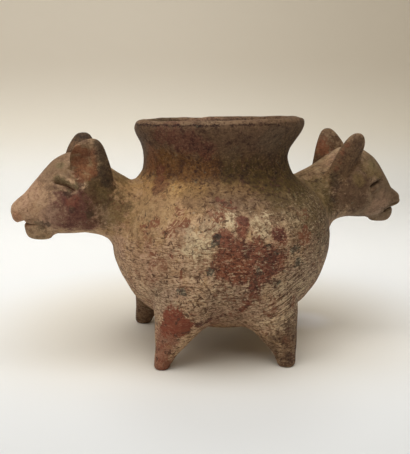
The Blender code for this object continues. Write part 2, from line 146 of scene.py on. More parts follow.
class Wash:
    """A value, colour or vector in a clay's nodes. Sums on values add Math nodes; node() adds any other."""

    def __init__(self, tree, socket=None):
        self.tree, self.socket = tree, socket

    def node(self, kind, settings, sockets, out=0):
        """Adds a node of a kind, sets its settings first, then the values or links of its sockets."""
        made = self.tree.nodes.new("ShaderNode" + kind)
        for key, value in settings.items():
            setattr(made, key, value)
        for key, value in sockets.items():
            if isinstance(value, Wash):
                self.tree.links.new(value.socket, made.inputs[key])
            else:
                made.inputs[key].default_value = value
        return Wash(self.tree, made.outputs[out])

    def sum(self, operation, first, second):
        """A Math node on two values."""
        return self.node("Math", {"operation": operation}, {0: first, 1: second})

    def __add__(self, other):
        return self.sum("ADD", self, other)

    __radd__ = __add__

    def __sub__(self, other):
        return self.sum("SUBTRACT", self, other)

    def __rsub__(self, other):
        return self.sum("SUBTRACT", other, self)

    def __mul__(self, other):
        return self.sum("MULTIPLY", self, other)

    __rmul__ = __mul__

    def least(self, other):
        """The smaller of two values."""
        return self.sum("MINIMUM", self, other)

    def step(self, low, high):
        """Smooth step from 0 at low to 1 at high; low may be the larger."""
        ends = {"Value": self, "From Min": low, "From Max": high}
        return self.node("MapRange", {"interpolation_type": "SMOOTHSTEP"}, ends)

    def noise(self, scale, detail=2.0, roughness=0.5, curl=0.0, out=0):
        """Fractal noise on this vector: out 0 is its value, out 1 its colour."""
        sockets = {"Vector": self, "Scale": scale, "Detail": detail, "Roughness": roughness,
                   "Distortion": curl}
        return self.node("TexNoise", {}, sockets, out)

    def axis(self, number):
        """One coordinate of this vector: 0, 1 or 2."""
        return self.node("SeparateXYZ", {}, {0: self}, number)

    def along(self, heading):
        """How far this vector reaches along a heading: their dot product."""
        return self.node("VectorMath", {"operation": "DOT_PRODUCT"}, {0: self, 1: heading}, 1)

    def stretched(self, x, y, z):
        """This vector times a number on each axis."""
        return self.node("VectorMath", {"operation": "MULTIPLY"}, {0: self, 1: (x, y, z)})

    def moved(self, x, y, z):
        """This vector with an offset added."""
        return self.node("VectorMath", {"operation": "ADD"}, {0: self, 1: (x, y, z)})

    def away(self, place):
        """Distance from a place."""
        return self.node("VectorMath", {"operation": "DISTANCE"}, {0: self, 1: place}, 1)

    def nearest(self, places):
        """Distance from the nearest of some places, in their own radii; places are in millimetres."""
        nearest = None
        for *centre, radius in (0.001 * np.array(places, float)).tolist():
            reach = self.away(centre) * (1 / radius)
            nearest = reach if nearest is None else nearest.least(reach)
        return nearest

    def between(self, first, second):
        """A colour that goes from the first to the second as this value goes from 0 to 1."""
        return self.node("Mix", {"data_type": "RGBA"}, {0: self, 6: first, 7: second}, 2)

    def under(self, colour, share):
        """This colour with another laid over it by a share from 0 to 1."""
        return share.between(self, colour)

    def stained(self, colour, share):
        """This colour multiplied by another by a share from 0 to 1."""
        blend = {"data_type": "RGBA", "blend_type": "MULTIPLY"}
        return self.node("Mix", blend, {0: share, 6: self, 7: colour}, 2)


def tone(red, green, blue):
    """A colour as it is seen on a screen, 0 to 255, turned by the screen's usual curve into the linear light
    that a shader takes."""
    seen = np.array([red, green, blue]) / 255
    return (*np.where(seen > 0.04045, ((seen + 0.055) / 1.055) ** 2.4, seen / 12.92).tolist(), 1.0)


BUFF_GROUNDS = (tone(210, 183, 145), tone(194, 161, 124), tone(165, 132, 98))
PINK = tone(178, 140, 112)
BRICK = tone(124, 66, 46)
OXBLOOD = tone(82, 43, 34)
RUST = tone(136, 80, 52)
RUST_RED = tone(123, 61, 39)
CREAM = tone(208, 186, 148)
SOOT = tone(62, 62, 51)
OCHRE = tone(160, 124, 74)
TOBACCO = tone(101, 64, 20)
OLIVE = tone(75, 58, 21)
UMBER = tone(86, 60, 39)
PLUM = tone(98, 53, 39)
DRAB = tone(97, 77, 56)
DOVE = tone(150, 130, 109)

# Slips in the order in which they were brushed on. Each has a colour, the softness and the raggedness of its
# edge, its cover, and its places: centre and radius in millimetres.
LEG_RED = ((-36.5, -45.5, 28.8, 8.2), (-31.5, -48, 27.5, 5), (-39.5, -42.5, 24, 5.5))
BODY_SLIPS = (
    (PINK, 0.50, 0.4, 0.30, ((-45, -40, 50, 30), (30, 50, 46, 26))),
    (DOVE, 0.50, 0.5, 0.50, ((30, -50, 42, 20), (52, -26, 55, 20), (-8, -52, 36, 18), (-40, -40, 38, 12))),
    (OCHRE, 0.40, 0.6, 0.60, (
        (-48, -28, 84, 18), (-40, -36, 88, 14), (-56, -10, 86, 16), (-28, -43, 90, 12), (45, 30, 85, 18))),
    (UMBER, 0.50, 0.5, 0.55, ((-4, -47, 93, 16), (-30, 40, 92, 20), (8, -52, 88, 14))),
    (UMBER, 0.50, 0.7, 0.50, ((-16, -48, 91, 11), (-27, -43, 92, 8), (-6, -51, 89, 9))),
    (OLIVE, 0.50, 0.3, 0.82, ((40, -36, 92, 30), (18, -46, 95, 14))),
    (OLIVE, 0.40, 0.5, 0.85, ((6, -41, 103, 7), (18, -40, 100, 9), (-5, -40, 104.5, 7), (31, -34, 98, 12))),
    (TOBACCO, 0.40, 0.5, 0.85, (
        (-18, -36, 106, 7), (-26, -31, 105, 8), (-35, -22, 106, 8), (12, 40, 104, 12))),
    (PLUM, 0.35, 0.6, 0.75, (
        (-32, -30, 120.5, 7), (-38, -24, 122, 5), (-25, -34, 118.5, 7), (-19, -37, 115, 5),
        (-40, -27, 95, 5), (-38, -19, 104, 3), (-39, -21, 99, 3), (20, 36, 115, 10))),
    (DRAB, 0.40, 0.5, 0.70, (
        (-43, -2, 116, 8), (43, 4, 116, 9), (16, -41, 118, 8), (-6, -40, 112, 5), (-28, 33, 127, 12))),
    (DRAB, 0.50, 0.4, 0.25, ((-47, -31, 82, 14),)),
    (PINK, 0.40, 0.5, 0.40, ((2, 42, 127, 12),)),
    (RUST, 0.40, 0.5, 0.40, ((-40, -11, 112, 6), (-39, -9, 106, 6))),
    (CREAM, 0.15, 1.0, 0.75, (
        (3, -58.5, 79, 5), (6, -59.5, 75.5, 3.4), (-14, -56, 81.5, 5), (-27.5, -53.5, 72.5, 5),
        (-25, -55.5, 69.5, 4), (-31, -52.5, 67, 4), (-6, 58, 76, 6), (30, 50, 74, 5))),
    (CREAM, 0.12, 1.6, 0.70, (
        (-10, -57, 77.5, 7), (-27, -53, 71, 7), (13, -59, 75, 5), (-20, -55.5, 75, 6), (0, 58, 70, 9))),
    (PLUM, 0.12, 1.8, 0.35, ((-21, -54, 79, 5), (-33, -49, 75, 5), (22, -55, 70, 5), (10, 56, 74, 8))),
    (PLUM, 0.25, 1.0, 0.80, (
        (-14.5, -49, 91.5, 1.1), (-12.8, -50, 90.5, 0.9), (-11.2, -51.2, 89.5, 1.2), (-9.5, -52.5, 88.3, 1),
        (-8, -53.5, 87.5, 1.3))),
    (BRICK, 0.25, 0.55, 0.92, (
        (-5.5, -57.5, 80.5, 3.6), (-6, -59.5, 76, 3.8), (13, -58.5, 74.5, 4.6), (15, -59, 72, 3.4),
        (-14.5, -58.5, 72, 5.2), (-10, -60, 64, 9), (2, -61, 63, 10), (-15, -58.5, 59, 6),
        (-6, -60, 56.5, 7), (10.5, -60.5, 60, 8), (3, -60.5, 55, 6.5), (0.5, -59.5, 49, 4),
        (0.5, -57.5, 43.5, 3), (-1.5, -55.5, 38.5, 2.4), (-4, -52.5, 35, 2.2), (12, 60, 64, 10),
        (22, 56, 55, 8), (-30, 50, 50, 6))),
    (RUST, 0.25, 0.9, 0.75, (
        (-10, -60, 61, 6), (-16, -58.5, 57.5, 4), (-6, -60, 55, 4), (30, -53, 70, 4.2),
        (21.5, -52, 16, 3.4))),
    (OXBLOOD, 0.20, 1.0, 0.65, (
        (13, -58.5, 74.5, 3.8), (9, -60.5, 61, 4.4), (-5, -60.5, 67.5, 3.4), (-5.5, -57.5, 81, 2.6))),
    (SOOT, 0.20, 1.0, 0.80, (
        (-19, -57.5, 70.5, 2.0), (-18, -57.5, 73, 1.4), (-22, -56, 56.5, 2.2), (7, -61, 69.5, 1.8),
        (13, -60, 65, 2.2), (2, -60.5, 55.5, 1.8), (13.5, -57.5, 48, 1.8), (23, -57, 65, 2.8),
        (25, -55.5, 58.5, 2.4), (-33.5, -48, 46.5, 2.4), (-38, -46, 49.5, 1.8), (-12, 60, 56, 3),
        (40, 45, 50, 3))),
    (OXBLOOD, 0.20, 1.0, 0.70, (
        (-25, -47.5, 28, 2.2), (-19.5, -48, 29.5, 2), (-12.5, -47.5, 31, 2.6), (-9, -49, 33, 2))),
    (UMBER, 0.40, 0.5, 0.75, ((26, -48, 13, 16), (-36, 43, 8, 24), (38, 36, 8, 16))),
    (RUST, 0.40, 0.4, 0.25, ((-8, -47, 30, 14),)),
    (BRICK, 0.25, 0.70, 0.90, (
        (-41, -40, 19, 6), (-43, -37.5, 12, 5), (-42, -37.5, 6, 4.6), (-41.5, -36, 1, 5))),
    (RUST_RED, 0.12, 0.30, 0.97, LEG_RED),
)

# Places where flecks of an older red slip lie thickest, and the colours of what is finer than a slip.
OLD_RED = ((-34, -44, 85, 3.4), (-32, -48.5, 80.5, 3), (-36.5, -46, 78.5, 3.6), (-35, -49.5, 72, 3.2),
           (-40.5, -45, 75, 3), (-40, -46.5, 63.5, 2.6), (-48.5, -30.5, 81, 2.4), (-44.5, -37.5, 79.5, 3.2),
           (-50, -32, 76, 2.6), (-46.5, -40.5, 65, 2), (-21, -54.5, 80, 2.6), (-16.5, -54.5, 83.5, 3.2),
           (-12, -51.5, 88.5, 4), (-34.5, -49, 54.5, 2.4), (30, -52, 75, 2.4), (-28, 52, 72, 4),
           (14, 57, 78, 4), (40, 42, 70, 3))
GRAIN_BROWN = tone(134, 102, 77)
MOTTLE_TAN = tone(130, 104, 74)
# The colour of a painted shade line just under the lip's pale upper edge.
SHADE_LINE_BROWN = tone(128, 96, 66)
STREAK_BROWN = tone(150, 118, 86)
WASHED_FOOT = tone(255, 247, 214)
DARK_SPECK = tone(130, 106, 88)
PALE_SPECK = tone(138, 106, 78)
FLECK_RED = tone(112, 62, 40)
ASH_GREY = tone(100, 98, 78)
PIT_BROWN = tone(80, 50, 34)

# Heights and places, in metres, between which one finish gives way to another.
RIM_TILT, RIM_NEAR_SLOPE = 0.011, 0.020
SMOKE_EDGE = (0.0950, 0.1030)
FOOT_BOTTOM, FOOT_TOP = (0.088, 0.098), (0.118, 0.106)
BELT_EDGE = (0.080, 0.066)
COARSE_EDGE = (0.100, 0.088)
WORKED_SLOPE, WORKED_EDGE, WORKED_FEET = 0.45, (-0.092, -0.056), (0.014, 0.040)
LIP_WORN_AND_LIT, LIP_WORN_AND_LIT_RIGHT = (-0.0004, 0.0003), (0.018, -0.004)
SHADE_LINE_BOTTOM, SHADE_LINE_TOP, SHADE_LINE_RIGHT = (-0.0015, -0.0009), (0.0001, -0.0004), (0.034, 0.018)
FIRM_LEFT = (-0.015, -0.045)
BRUSHED_PLACE, BRUSHED_REACH = (0.022, -0.052, 0.039), (0.021, 0.008)
BRUSHED_SLANT = math.radians(25)
PIT_RELIEF = 0.0007


def fired_clay(name, grit, rubbed, smoked, slips, span=(0, 140), beyond=0, worn=1.0, fresh=()):
    """Unglazed, worn clay. Three ground colours mingle in soft clouds, and smoke browns what stands high,
    less so on an edge higher than worn, which is partly worn bare and partly a painted highlight; under it
    runs a broken line of painted shade. Each slip lies on points whose warped distance to one of its places,
    in radii, is under 1 give or take noise, rubbed through in specks.
    Places off the piece's span of heights, or not as far out sideways as it begins, are left out. Over the
    slips lie a dark and a pale grain drawn out round the axis, coarser low down and on the right and finer on
    the left, level scratches, streaks and specks where it is smoked, slanting brush lines by one leg, and the
    fresh slips. Curled flecks of old red slip, which are thin bands of noise near its middle, ash and pits
    come last. Grit, rubbed and smoked are shares from 0 to 1."""
    material = bpy.data.materials.new(name)
    material.use_nodes = True
    tree = material.node_tree
    shader = tree.nodes["Principled BSDF"]
    here = Wash(tree).node("TexCoord", {}, {}, 3)
    right, height = here.axis(0), here.axis(2)
    pale, middle, deep = BUFF_GROUNDS

    # Ground
    drift = here.noise(70.0, 3.0, out=1).moved(-0.5, -0.5, -0.5).stretched(0.006, 0.006, 0.006)
    warped = here.node("VectorMath", {"operation": "ADD"}, {0: here, 1: drift})
    off_feet = 0.2 + height.step(*WORKED_FEET) * 0.8
    worked = (right * WORKED_SLOPE - height).step(*WORKED_EDGE) * off_feet * rubbed
    belt = height.step(*BELT_EDGE) * rubbed
    scratches = here.stretched(380.0, 380.0, 1700.0).noise(1.0, 3.0, 0.65)
    lines = here.stretched(80.0, 80.0, 1000.0).noise(1.0, 3.0, 0.6)
    colour = here.noise(24.0, 5.0, 0.6).step(0.38, 0.60).between(deep, middle)
    colour = colour.under(pale, here.moved(0.31, 0.12, 0.05).noise(42.0, 5.0, 0.65).step(0.50, 0.66) * 0.7)
    colour = colour.under(PINK, here.moved(0.11, 0.62, 0.35).noise(90.0, 4.0, 0.7).step(0.48, 0.62) * 0.6)
    ochre_spots = here.moved(0.81, 0.22, 0.15).noise(160.0, 4.0, 0.7).step(0.52, 0.64)
    colour = colour.under(OCHRE, ochre_spots * 0.45)
    colour = colour.under(CREAM, scratches.step(0.46, 0.32) * (0.7 * belt))

    # Smoke, the lip's pale edge, partly worn and partly a painted highlight, the slips and a painted shade
    # line
    fray = here.moved(0.2, 0.7, 0.1).noise(190.0, 5.0, 0.75) + here.noise(620.0, 3.0, 0.7) * 0.5 - 0.75
    rubbed_through = here.moved(0.4, 0.1, 0.8).noise(560.0, 4.0, 0.75).step(0.54, 0.64)
    level = height - here.along(RIM_TILT * SIDEWAYS - RIM_NEAR_SLOPE * DEEPER) - worn
    # The lip's upper edge, more so on the right, loses some smoke: partly real wear, partly a painted
    # highlight.
    worn_and_highlit = (level + fray * 0.004).step(*LIP_WORN_AND_LIT) * (0.35 + right.step(*LIP_WORN_AND_LIT_RIGHT) * 0.65)
    smoke = (height + fray * 0.024).step(*SMOKE_EDGE) * (1.0 - worn_and_highlit * 0.17)
    colour = colour.under(UMBER, smoke * (0.92 * smoked))

    def brushed_on(colour, slips):
        """Lays slips over a colour, one after the other."""
        for slip_colour, soft, ragged, cover, places in slips:
            held = [(x, y, z, r) for x, y, z, r in places
                    if span[0] < z + 2 * r and z - 2 * r < span[1] and beyond < abs(x) + 2 * r]
            if held:
                mask = (warped.nearest(held) + fray * (4.5 * ragged)).step(1.0 + soft, 1.0 - soft)
                colour = colour.under(slip_colour, mask * cover * (1.0 - rubbed_through * (0.5 * ragged)))
        return colour

    colour = brushed_on(colour, slips)
    # Painted shade: a broken dark line just under the lip's pale upper edge, fading out on the right of the
    # mouth.
    frayed_level = level + fray * 0.0045
    shade_line = frayed_level.step(*SHADE_LINE_BOTTOM) * frayed_level.step(*SHADE_LINE_TOP)
    unbroken = here.moved(0.3, 0.6, 0.2).noise(95.0, 4.0, 0.65).step(0.36, 0.54)
    colour = colour.stained(SHADE_LINE_BROWN, shade_line * (unbroken * right.step(*SHADE_LINE_RIGHT)))

    # Grain, scratches, streaks, specks and brush lines
    crowd = here.moved(0.5, 0.5, 0.5).noise(30.0, 2.0).step(0.38, 0.62)
    mottles = here.moved(0.3, 0.3, 0.7).noise(300.0, 5.0, 0.7)
    grain = here.stretched(600.0, 600.0, 1050.0).noise(1.0, 4.0, 0.75)
    dust = here.moved(0.9, 0.4, 0.2).stretched(480.0, 480.0, 1000.0).noise(1.0, 3.0, 0.7)
    firm = 1.0 - right.step(*FIRM_LEFT) * (0.35 * rubbed)
    colour = colour.stained(GRAIN_BROWN, mottles.step(0.48, 0.66) * firm * (0.75 * grit))
    colour = colour.under(MOTTLE_TAN, mottles.step(0.48, 0.35) * (0.4 * grit * (1.0 - rubbed)))
    colour = colour.stained(GRAIN_BROWN, grain.step(0.48, 0.62) * (0.5 + worked * 0.4) * firm * grit)
    colour = colour.under(CREAM, dust.step(0.53, 0.66) * worked * (0.55 * grit))
    colour = colour.stained(GRAIN_BROWN, scratches.step(0.52, 0.64) * (0.8 * belt))
    colour = colour.stained(GRAIN_BROWN, lines.step(0.54, 0.66) * (0.6 * belt))
    streaks = here.stretched(380.0, 380.0, 60.0).noise(1.0, 4.0, 0.7)
    foot = height.step(*FOOT_BOTTOM) * height.step(*FOOT_TOP)
    colour = colour.stained(STREAK_BROWN, streaks.step(0.48, 0.66) * foot * (0.4 * smoked))
    colour = colour.stained(WASHED_FOOT, foot * smoked)
    specks = here.moved(0.15, 0.45, 0.75).noise(900.0, 4.0, 0.7)
    colour = colour.stained(DARK_SPECK, specks.step(0.53, 0.62) * smoke * smoked * crowd)
    colour = colour.under(PALE_SPECK, specks.step(0.45, 0.35) * smoke * (0.5 * smoked))
    slant = here.node("VectorRotate", {"rotation_type": "Y_AXIS"}, {"Vector": here, "Angle": BRUSHED_SLANT})
    brushed = slant.stretched(100.0, 100.0, 1350.0).noise(1.0, 3.0, 0.65)
    beside = warped.away(BRUSHED_PLACE).step(*BRUSHED_REACH) * min(1.0, rubbed * 2)
    colour = colour.under(CREAM, brushed.step(0.48, 0.38) * beside * 0.5)
    colour = colour.stained(GRAIN_BROWN, brushed.step(0.52, 0.60) * beside)
    colour = brushed_on(colour, fresh)

    # Flecks of old slip, ash and pits
    curled = here.moved(0.7, 0.2, 0.6).noise(140.0, 2.0, 0.5, 1.4) - 0.5
    scattered = here.moved(0.2, 0.5, 0.9).noise(75.0, 3.0, 0.6).step(0.54, 0.61) * 0.7
    patchy = scattered + here.nearest(OLD_RED).step(1.2, 0.8)
    broken = here.noise(520.0, 3.0, 0.7).step(0.36, 0.46) * min(1.0, 1.6 * rubbed)
    flecks = (curled * curled).step(0.0060, 0.0025) * patchy.least(1.0) * height.step(*COARSE_EDGE) * broken
    hole = here.moved(0.1, 0.9, 0.3).noise(400.0, 2.0, 0.5, 1.2)
    hole = (hole + crowd * 0.045).step(0.63, 0.69) * (grit * (0.45 + 0.55 * rubbed))
    ash = here.moved(0.6, 0.3, 0.9).noise(360.0, 3.0, 0.6, 1.0).step(0.66, 0.72)
    colour = colour.under(FLECK_RED, flecks * (0.85 * grit))
    colour = colour.under(ASH_GREY, ash * (0.6 * grit))
    colour = colour.under(PIT_BROWN, hole * 0.85)

    rough = 0.66 + grain * 0.2
    relief = lines * (0.35 * belt) + scratches * (0.35 * belt) + grain * 0.5 + mottles * 0.4 - hole * 0.9
    bump = here.node("Bump", {}, {"Strength": 0.8, "Distance": PIT_RELIEF, "Height": relief})
    for key, value in (("Base Color", colour), ("Roughness", rough), ("Normal", bump)):
        tree.links.new(value.socket, shader.inputs[key])
    shader.inputs["Specular IOR Level"].default_value = 0.3
    return material


def set_in_place(piece, node, material):
    """Gives a finished piece its clay, and lets it stand for its CAD node."""
    piece.data.materials.append(material)
    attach(piece, "root")
    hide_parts(node)


BUFF_CLAY = fired_clay("buff_clay", grit=1.0, rubbed=1.0, smoked=1.0, slips=BODY_SLIPS, span=(10, 102))
around = full_turn(ROUND)[None, :]
lip_lift = globe_lift(EQUATOR - LAP, 0.0)
bowl_inside = globe_skin(around, np.linspace(BOTTOM_INSIDE, 0.0, BOWL_ROWS_INSIDE)[:, None], WALL)
bowl_outside = globe_skin(around, np.linspace(lip_lift, BOTTOM_OUTSIDE, BOWL_ROWS_OUTSIDE)[:, None], 0.0)
lower_bowl = clay_piece("lower_bowl_skin", hand_worked(np.concatenate([bowl_inside, bowl_outside])))
set_in_place(lower_bowl, "lower_bowl", BUFF_CLAY)

# Shoulder
# The upper half of the globe, coiled up from the bowl's lip and drawn in to the mouth. The heads' necks and
# the collar are luted onto it while it is still damp.

MOUTH_RADIUS = 0.0422
DOME_ROWS_OUTSIDE, DOME_ROWS_INSIDE = 84, 36
COLLAR_BASE = EQUATOR + DOME_RISE * (1 - (MOUTH_RADIUS / GLOBE_RADIUS) ** 2) ** 0.5
mouth_lift = globe_lift(COLLAR_BASE, 0.0)
inner_mouth = math.acos((MOUTH_RADIUS - WALL) / (GLOBE_RADIUS - WALL))
dome_outside = globe_skin(around, np.linspace(mouth_lift, lip_lift, DOME_ROWS_OUTSIDE)[:, None], 0.0)
dome_inside = globe_skin(around, np.linspace(0.0, inner_mouth, DOME_ROWS_INSIDE)[:, None], WALL)
shoulder = clay_piece("shoulder_skin", hand_worked(np.concatenate([dome_outside, dome_inside])), ring=True)
set_in_place(shoulder, "shoulder", BUFF_CLAY)

# Collar
# A flaring band set on the mouth. Its foot is smeared down over the shoulder, and wet fingers drawn round it
# left level lines and a crease at the bottom.

COLLAR_OUTSIDE = ((0.0486, 0.0932), (0.0462, 0.0957), (0.0441, 0.0979), (0.0424, 0.1002), (0.0410, 0.1034),
                  (0.0402, 0.1072), (0.0407, 0.1114), (0.0423, 0.1156), (0.0442, 0.1190), (0.0456, 0.1216))
COLLAR_INSIDE = ((0.0396, 0.1216), (0.0372, 0.1170), (0.0350, 0.1110), (0.0342, 0.1060), (0.0350, 0.1010),
                 (0.0362, 0.0966))
COLLAR_ROWS_OUTSIDE, COLLAR_ROWS_INSIDE = 70, 34
COLLAR_LEAN, WAIST_HEIGHT, WAIST_SPAN = -0.0014, 0.1075, 0.0085
TILT_START, TILT_SPAN = 0.100, 0.028
RIM_NEAR_RISE, RIM_NEAR_REACH = 0.0009, 0.045
RIM_RIGHT_RISE, RIM_RIGHT_REACH = 0.0008, 0.046
RIM_NICK, NICK_FROM, NICK_EDGE, NICK_BACK = 0.0008, 0.004, 0.005, 0.010


def through(knots, share):
    """A smooth line through a few knots, share 0 to 1 along it: cubic pieces whose slope at each knot is half
    the step between its neighbours."""
    knots = np.asarray(knots, float)
    slopes = np.gradient(knots, axis=0)
    place = np.clip(share, 0, 1) * (len(knots) - 1)
    k = np.minimum(place.astype(int), len(knots) - 2)
    u = (place - k)[..., None]
    start = (1 + 2 * u) * (1 - u) ** 2 * knots[k] + u * (1 - u) ** 2 * slopes[k]
    return start + u * u * (3 - 2 * u) * knots[k + 1] + u * u * (u - 1) * slopes[k + 1]


def bell(distance, breadth):
    """Bell curve: e to the power of minus the square of a distance in breadths."""
    return np.exp(-(distance / breadth) ** 2)


def turned(profile):
    """A profile of (radius, height) rows carried round the vessel's axis. The axis leans to one side at the
    collar's waist by a bell curve of height. The mouth rises a little to the right and towards the viewer,
    and its far side is worn down to the left of the middle."""
    radius, height = profile[:, :1], profile[:, 1:]
    sway = COLLAR_LEAN * bell(height - WAIST_HEIGHT, WAIST_SPAN)
    points = np.stack([radius * np.cos(around), radius * np.sin(around), height + 0 * around], -1)
    points += sway[..., None] * SIDEWAYS
    sideways, deeper = points @ SIDEWAYS, points @ DEEPER
    high = np.clip((height - TILT_START) / TILT_SPAN, 0, 1)
    near = np.clip(-deeper / RIM_NEAR_REACH, 0, 1)
    worn = np.clip(-(sideways + NICK_FROM) / NICK_EDGE, 0, 1) * np.clip(deeper / NICK_BACK, 0, 1)
    far_right = np.clip(sideways / RIM_RIGHT_REACH, 0, 1) ** 3
    rise = RIM_TILT * sideways + RIM_NEAR_RISE * near + RIM_RIGHT_RISE * far_right
    points[..., 2] += high * rise - high ** 3 * RIM_NICK * worn
    return points


collar_profile = np.concatenate([through(COLLAR_OUTSIDE, np.linspace(1, 0, COLLAR_ROWS_OUTSIDE)),
                                 through(COLLAR_INSIDE, np.linspace(1, 0, COLLAR_ROWS_INSIDE))])
UMBER_CLAY = fired_clay("umber_clay", grit=1.0, rubbed=0.4, smoked=1.0, slips=BODY_SLIPS, span=(90, 124))
collar = clay_piece("neck_collar_skin", hand_worked(turned(collar_profile)), ring=True)
set_in_place(collar, "neck_collar", UMBER_CLAY)

# Lip
# A last coil that thickens the mouth, pinched to an upright edge outside and wiped level on top. Handling has
# worn some smoke off its upper edge, which is paler than the collar; the rest of that paleness is a painted
# highlight, with a line of painted shade just under it.

LIP_OUTLINE = ((0.0456, 0.1216), (0.0461, 0.1228), (0.0465, 0.1239), (0.0467, 0.1249), (0.0466, 0.1260),
               (0.0462, 0.1271), (0.0453, 0.1279), (0.0439, 0.1284), (0.0422, 0.1284), (0.0410, 0.1278),
               (0.0402, 0.1262), (0.0398, 0.1240), (0.0396, 0.1216))
LIP_ROWS = 72
LIP_EDGE = 0.1267
LIP_CLAY = fired_clay("lip_clay", grit=1.0, rubbed=0.4, smoked=0.97, slips=BODY_SLIPS, span=(118, 132),
                      worn=LIP_EDGE)
lip_profile = through(LIP_OUTLINE, np.linspace(0, 1, LIP_ROWS))
rim_lip = clay_piece("rim_lip_skin", hand_worked(turned(lip_profile)), ring=True)
set_in_place(rim_lip, "rim_lip", LIP_CLAY)

# Legs
# Four solid cones rolled in the palm, pressed under the bowl and smeared up onto it all round, so that the
# belly runs into them in wide arches. Each has one plumb side, and its end is blunt and worn flat.

LEG_FOOT = {"front_left": (-0.0410, -0.0329), "front_right": (0.0236, -0.0463),
            "rear_right": (0.0390, 0.0351), "rear_left": (-0.0352, 0.0458)}
LEG_PLUMB_SIDE = {"front_left": 184, "front_right": 320, "rear_right": 42, "rear_left": 136}
LEG_STOUTNESS = {"front_left": (0.84, 1.06), "front_right": (1.0, 1.0), "rear_right": (1.0, 1.0),
                 "rear_left": (1.04, 1.14)}
LEG_CORE = ((0.0000, 0.0004), (0.0000, 0.0032), (0.0009, 0.0045), (0.0030, 0.0051), (0.0080, 0.0063),
            (0.0140, 0.0087), (0.0210, 0.0122), (0.0290, 0.0165), (0.0380, 0.0205), (0.0500, 0.0240))
LEG_LEAN = 0.030
FOOT_RADIUS = 0.005
ANKLE = 0.012
SMALL_ROUND = 120
SMEAR_SINK, ROOT_SINK, ROOT_SIZE = 0.00025, 0.003, 0.02
SMALL_STEP, SMALL_SHARE, LEAST_LEAVE = 0.00001, 0.02, 0.35
HALVINGS, SETTLINGS = 40, 8


def globe_depth(points):
    """Distance outside the globe's skin, near enough: the superellipse's own measure, times the radius."""
    reach = np.hypot(points[..., 0], points[..., 1]) / GLOBE_RADIUS
    rise = points[..., 2] - EQUATOR
    above = rise > 0
    fullness = np.where(above, DOME_FULLNESS, BELLY_FULLNESS)
    tall = np.where(above, DOME_RISE, BELLY_DEPTH)
    return GLOBE_RADIUS * ((reach ** fullness + np.abs(rise / tall) ** fullness) ** (1 / fullness) - 1)


def facing(host, points):
    """Outward direction of a host's skin: the slope of its depth, by small steps along each axis."""
    slope = np.stack([host(points + s) - host(points - s) for s in SMALL_STEP * np.eye(3)], -1)
    return slope / np.linalg.norm(slope, axis=-1, keepdims=True)


def luted(tube, host, turn, rise, spread, rows=(60, 26)):
    """Carries each line of a tube, share 0 to 1 from its free end, up to where it enters the host, and rounds
    it over onto the host with a smear of clay: a quadratic curve that leaves the tube a rise before the
    meeting point and lies down a spread beyond it, just under the skin. Where the spread is negative the edge
    is tucked in instead, and a crevice is left. The meeting point is found by halving."""
    outside, inside = np.zeros_like(turn), np.ones_like(turn)
    for _ in range(HALVINGS):
        middle = (outside + inside) / 2
        within = host(tube(middle, turn)) < 0
        outside, inside = np.where(within, outside, middle), np.where(within, middle, inside)
    meeting = tube(inside, turn)
    normal = facing(host, meeting)
    away = meeting - meeting.mean(0)
    away -= (away * normal).sum(-1, keepdims=True) * normal
    landing = meeting + np.reshape(spread, (-1, 1)) * away / np.linalg.norm(away, axis=-1, keepdims=True)
    for _ in range(SETTLINGS):
        landing -= host(landing)[:, None] * facing(host, landing)
    landing -= SMEAR_SINK * facing(host, landing)
    pace = np.linalg.norm(meeting - tube(inside - SMALL_SHARE, turn), axis=-1) / SMALL_SHARE
    leave = np.maximum(inside - rise / pace, LEAST_LEAVE * inside)
    side = tube(np.linspace(0, 1, rows[0])[:, None] * leave, turn[None, :])
    t = np.linspace(0, 1, rows[1])[1:, None, None]
    smear = (1 - t) ** 2 * side[-1] + 2 * t * (1 - t) * meeting + t * t * landing
    root = landing.mean(0)
    for _ in range(SETTLINGS):
        root = root - (host(root) + ROOT_SINK) * facing(host, root)
    return np.concatenate([side, smear, root + ROOT_SIZE * (landing - root)[None]])


def leg_tube(place):
    """A cone about a leaning line: rings of growing radius, moved so that one side stays nearly plumb."""
    azimuth = math.radians(LEG_PLUMB_SIDE[place])
    plumb = np.array([math.cos(azimuth), math.sin(azimuth), 0.0])
    across = np.array([-math.sin(azimuth), math.cos(azimuth), 0.0])
    foot = np.array([*LEG_FOOT[place], 0.0])
    low, high = LEG_STOUTNESS[place]

    def tube(share, turn):
        core = through(LEG_CORE, share)
        height = core[..., 0]
        radius = core[..., 1] * (low + (high - low) * np.clip(height / ANKLE, 0, 1))
        middle = -np.maximum(radius - FOOT_RADIUS * low, 0) - LEG_LEAN * height
        outward, aside = middle + radius * np.cos(turn), radius * np.sin(turn)
        plan = outward[..., None] * plumb + aside[..., None] * across
        return foot + plan + height[..., None] * UP

    return tube


FRESH_SLIPS = (
    (RUST_RED, 0.20, 0.5, 0.60, LEG_RED),
    (BRICK, 0.25, 0.9, 0.40, ((-41.5, -39, 14, 5), (-42, -38, 6, 5))),
    (CREAM, 0.12, 2.2, 0.12, ((-41, -40, 18, 4), (-41, -38.5, 11, 4.4), (-41.5, -37, 4, 3.4))),
    (OXBLOOD, 0.20, 1.0, 0.60, ((-25, -47.5, 28, 2.0), (-19.5, -48, 29.5, 1.8), (-12.5, -47.5, 31, 2.2))),
)
LEG_CLAY = fired_clay("leg_clay", grit=1.0, rubbed=1.0, smoked=0.0, slips=BODY_SLIPS, span=(0, 45),
                      fresh=FRESH_SLIPS)
small_turn = full_turn(SMALL_ROUND)
for place in LEG_FOOT:
    inward = (1 - np.cos(small_turn)) / 2
    leg_rise, leg_spread = 0.003 + 0.006 * inward, 0.0025 + 0.0065 * inward
    skin = luted(leg_tube(place), globe_depth, small_turn, leg_rise, leg_spread)
    leg = clay_piece(place + "_leg_skin", hand_worked(skin))
    set_in_place(leg, place + "_leg", LEG_CLAY)

# Necks
# Thick stubs between the globe and the heads. Clay was dragged from them down the globe with a wet thumb,
# which left faint upright smears.

NECK_JOINT = 0.0663

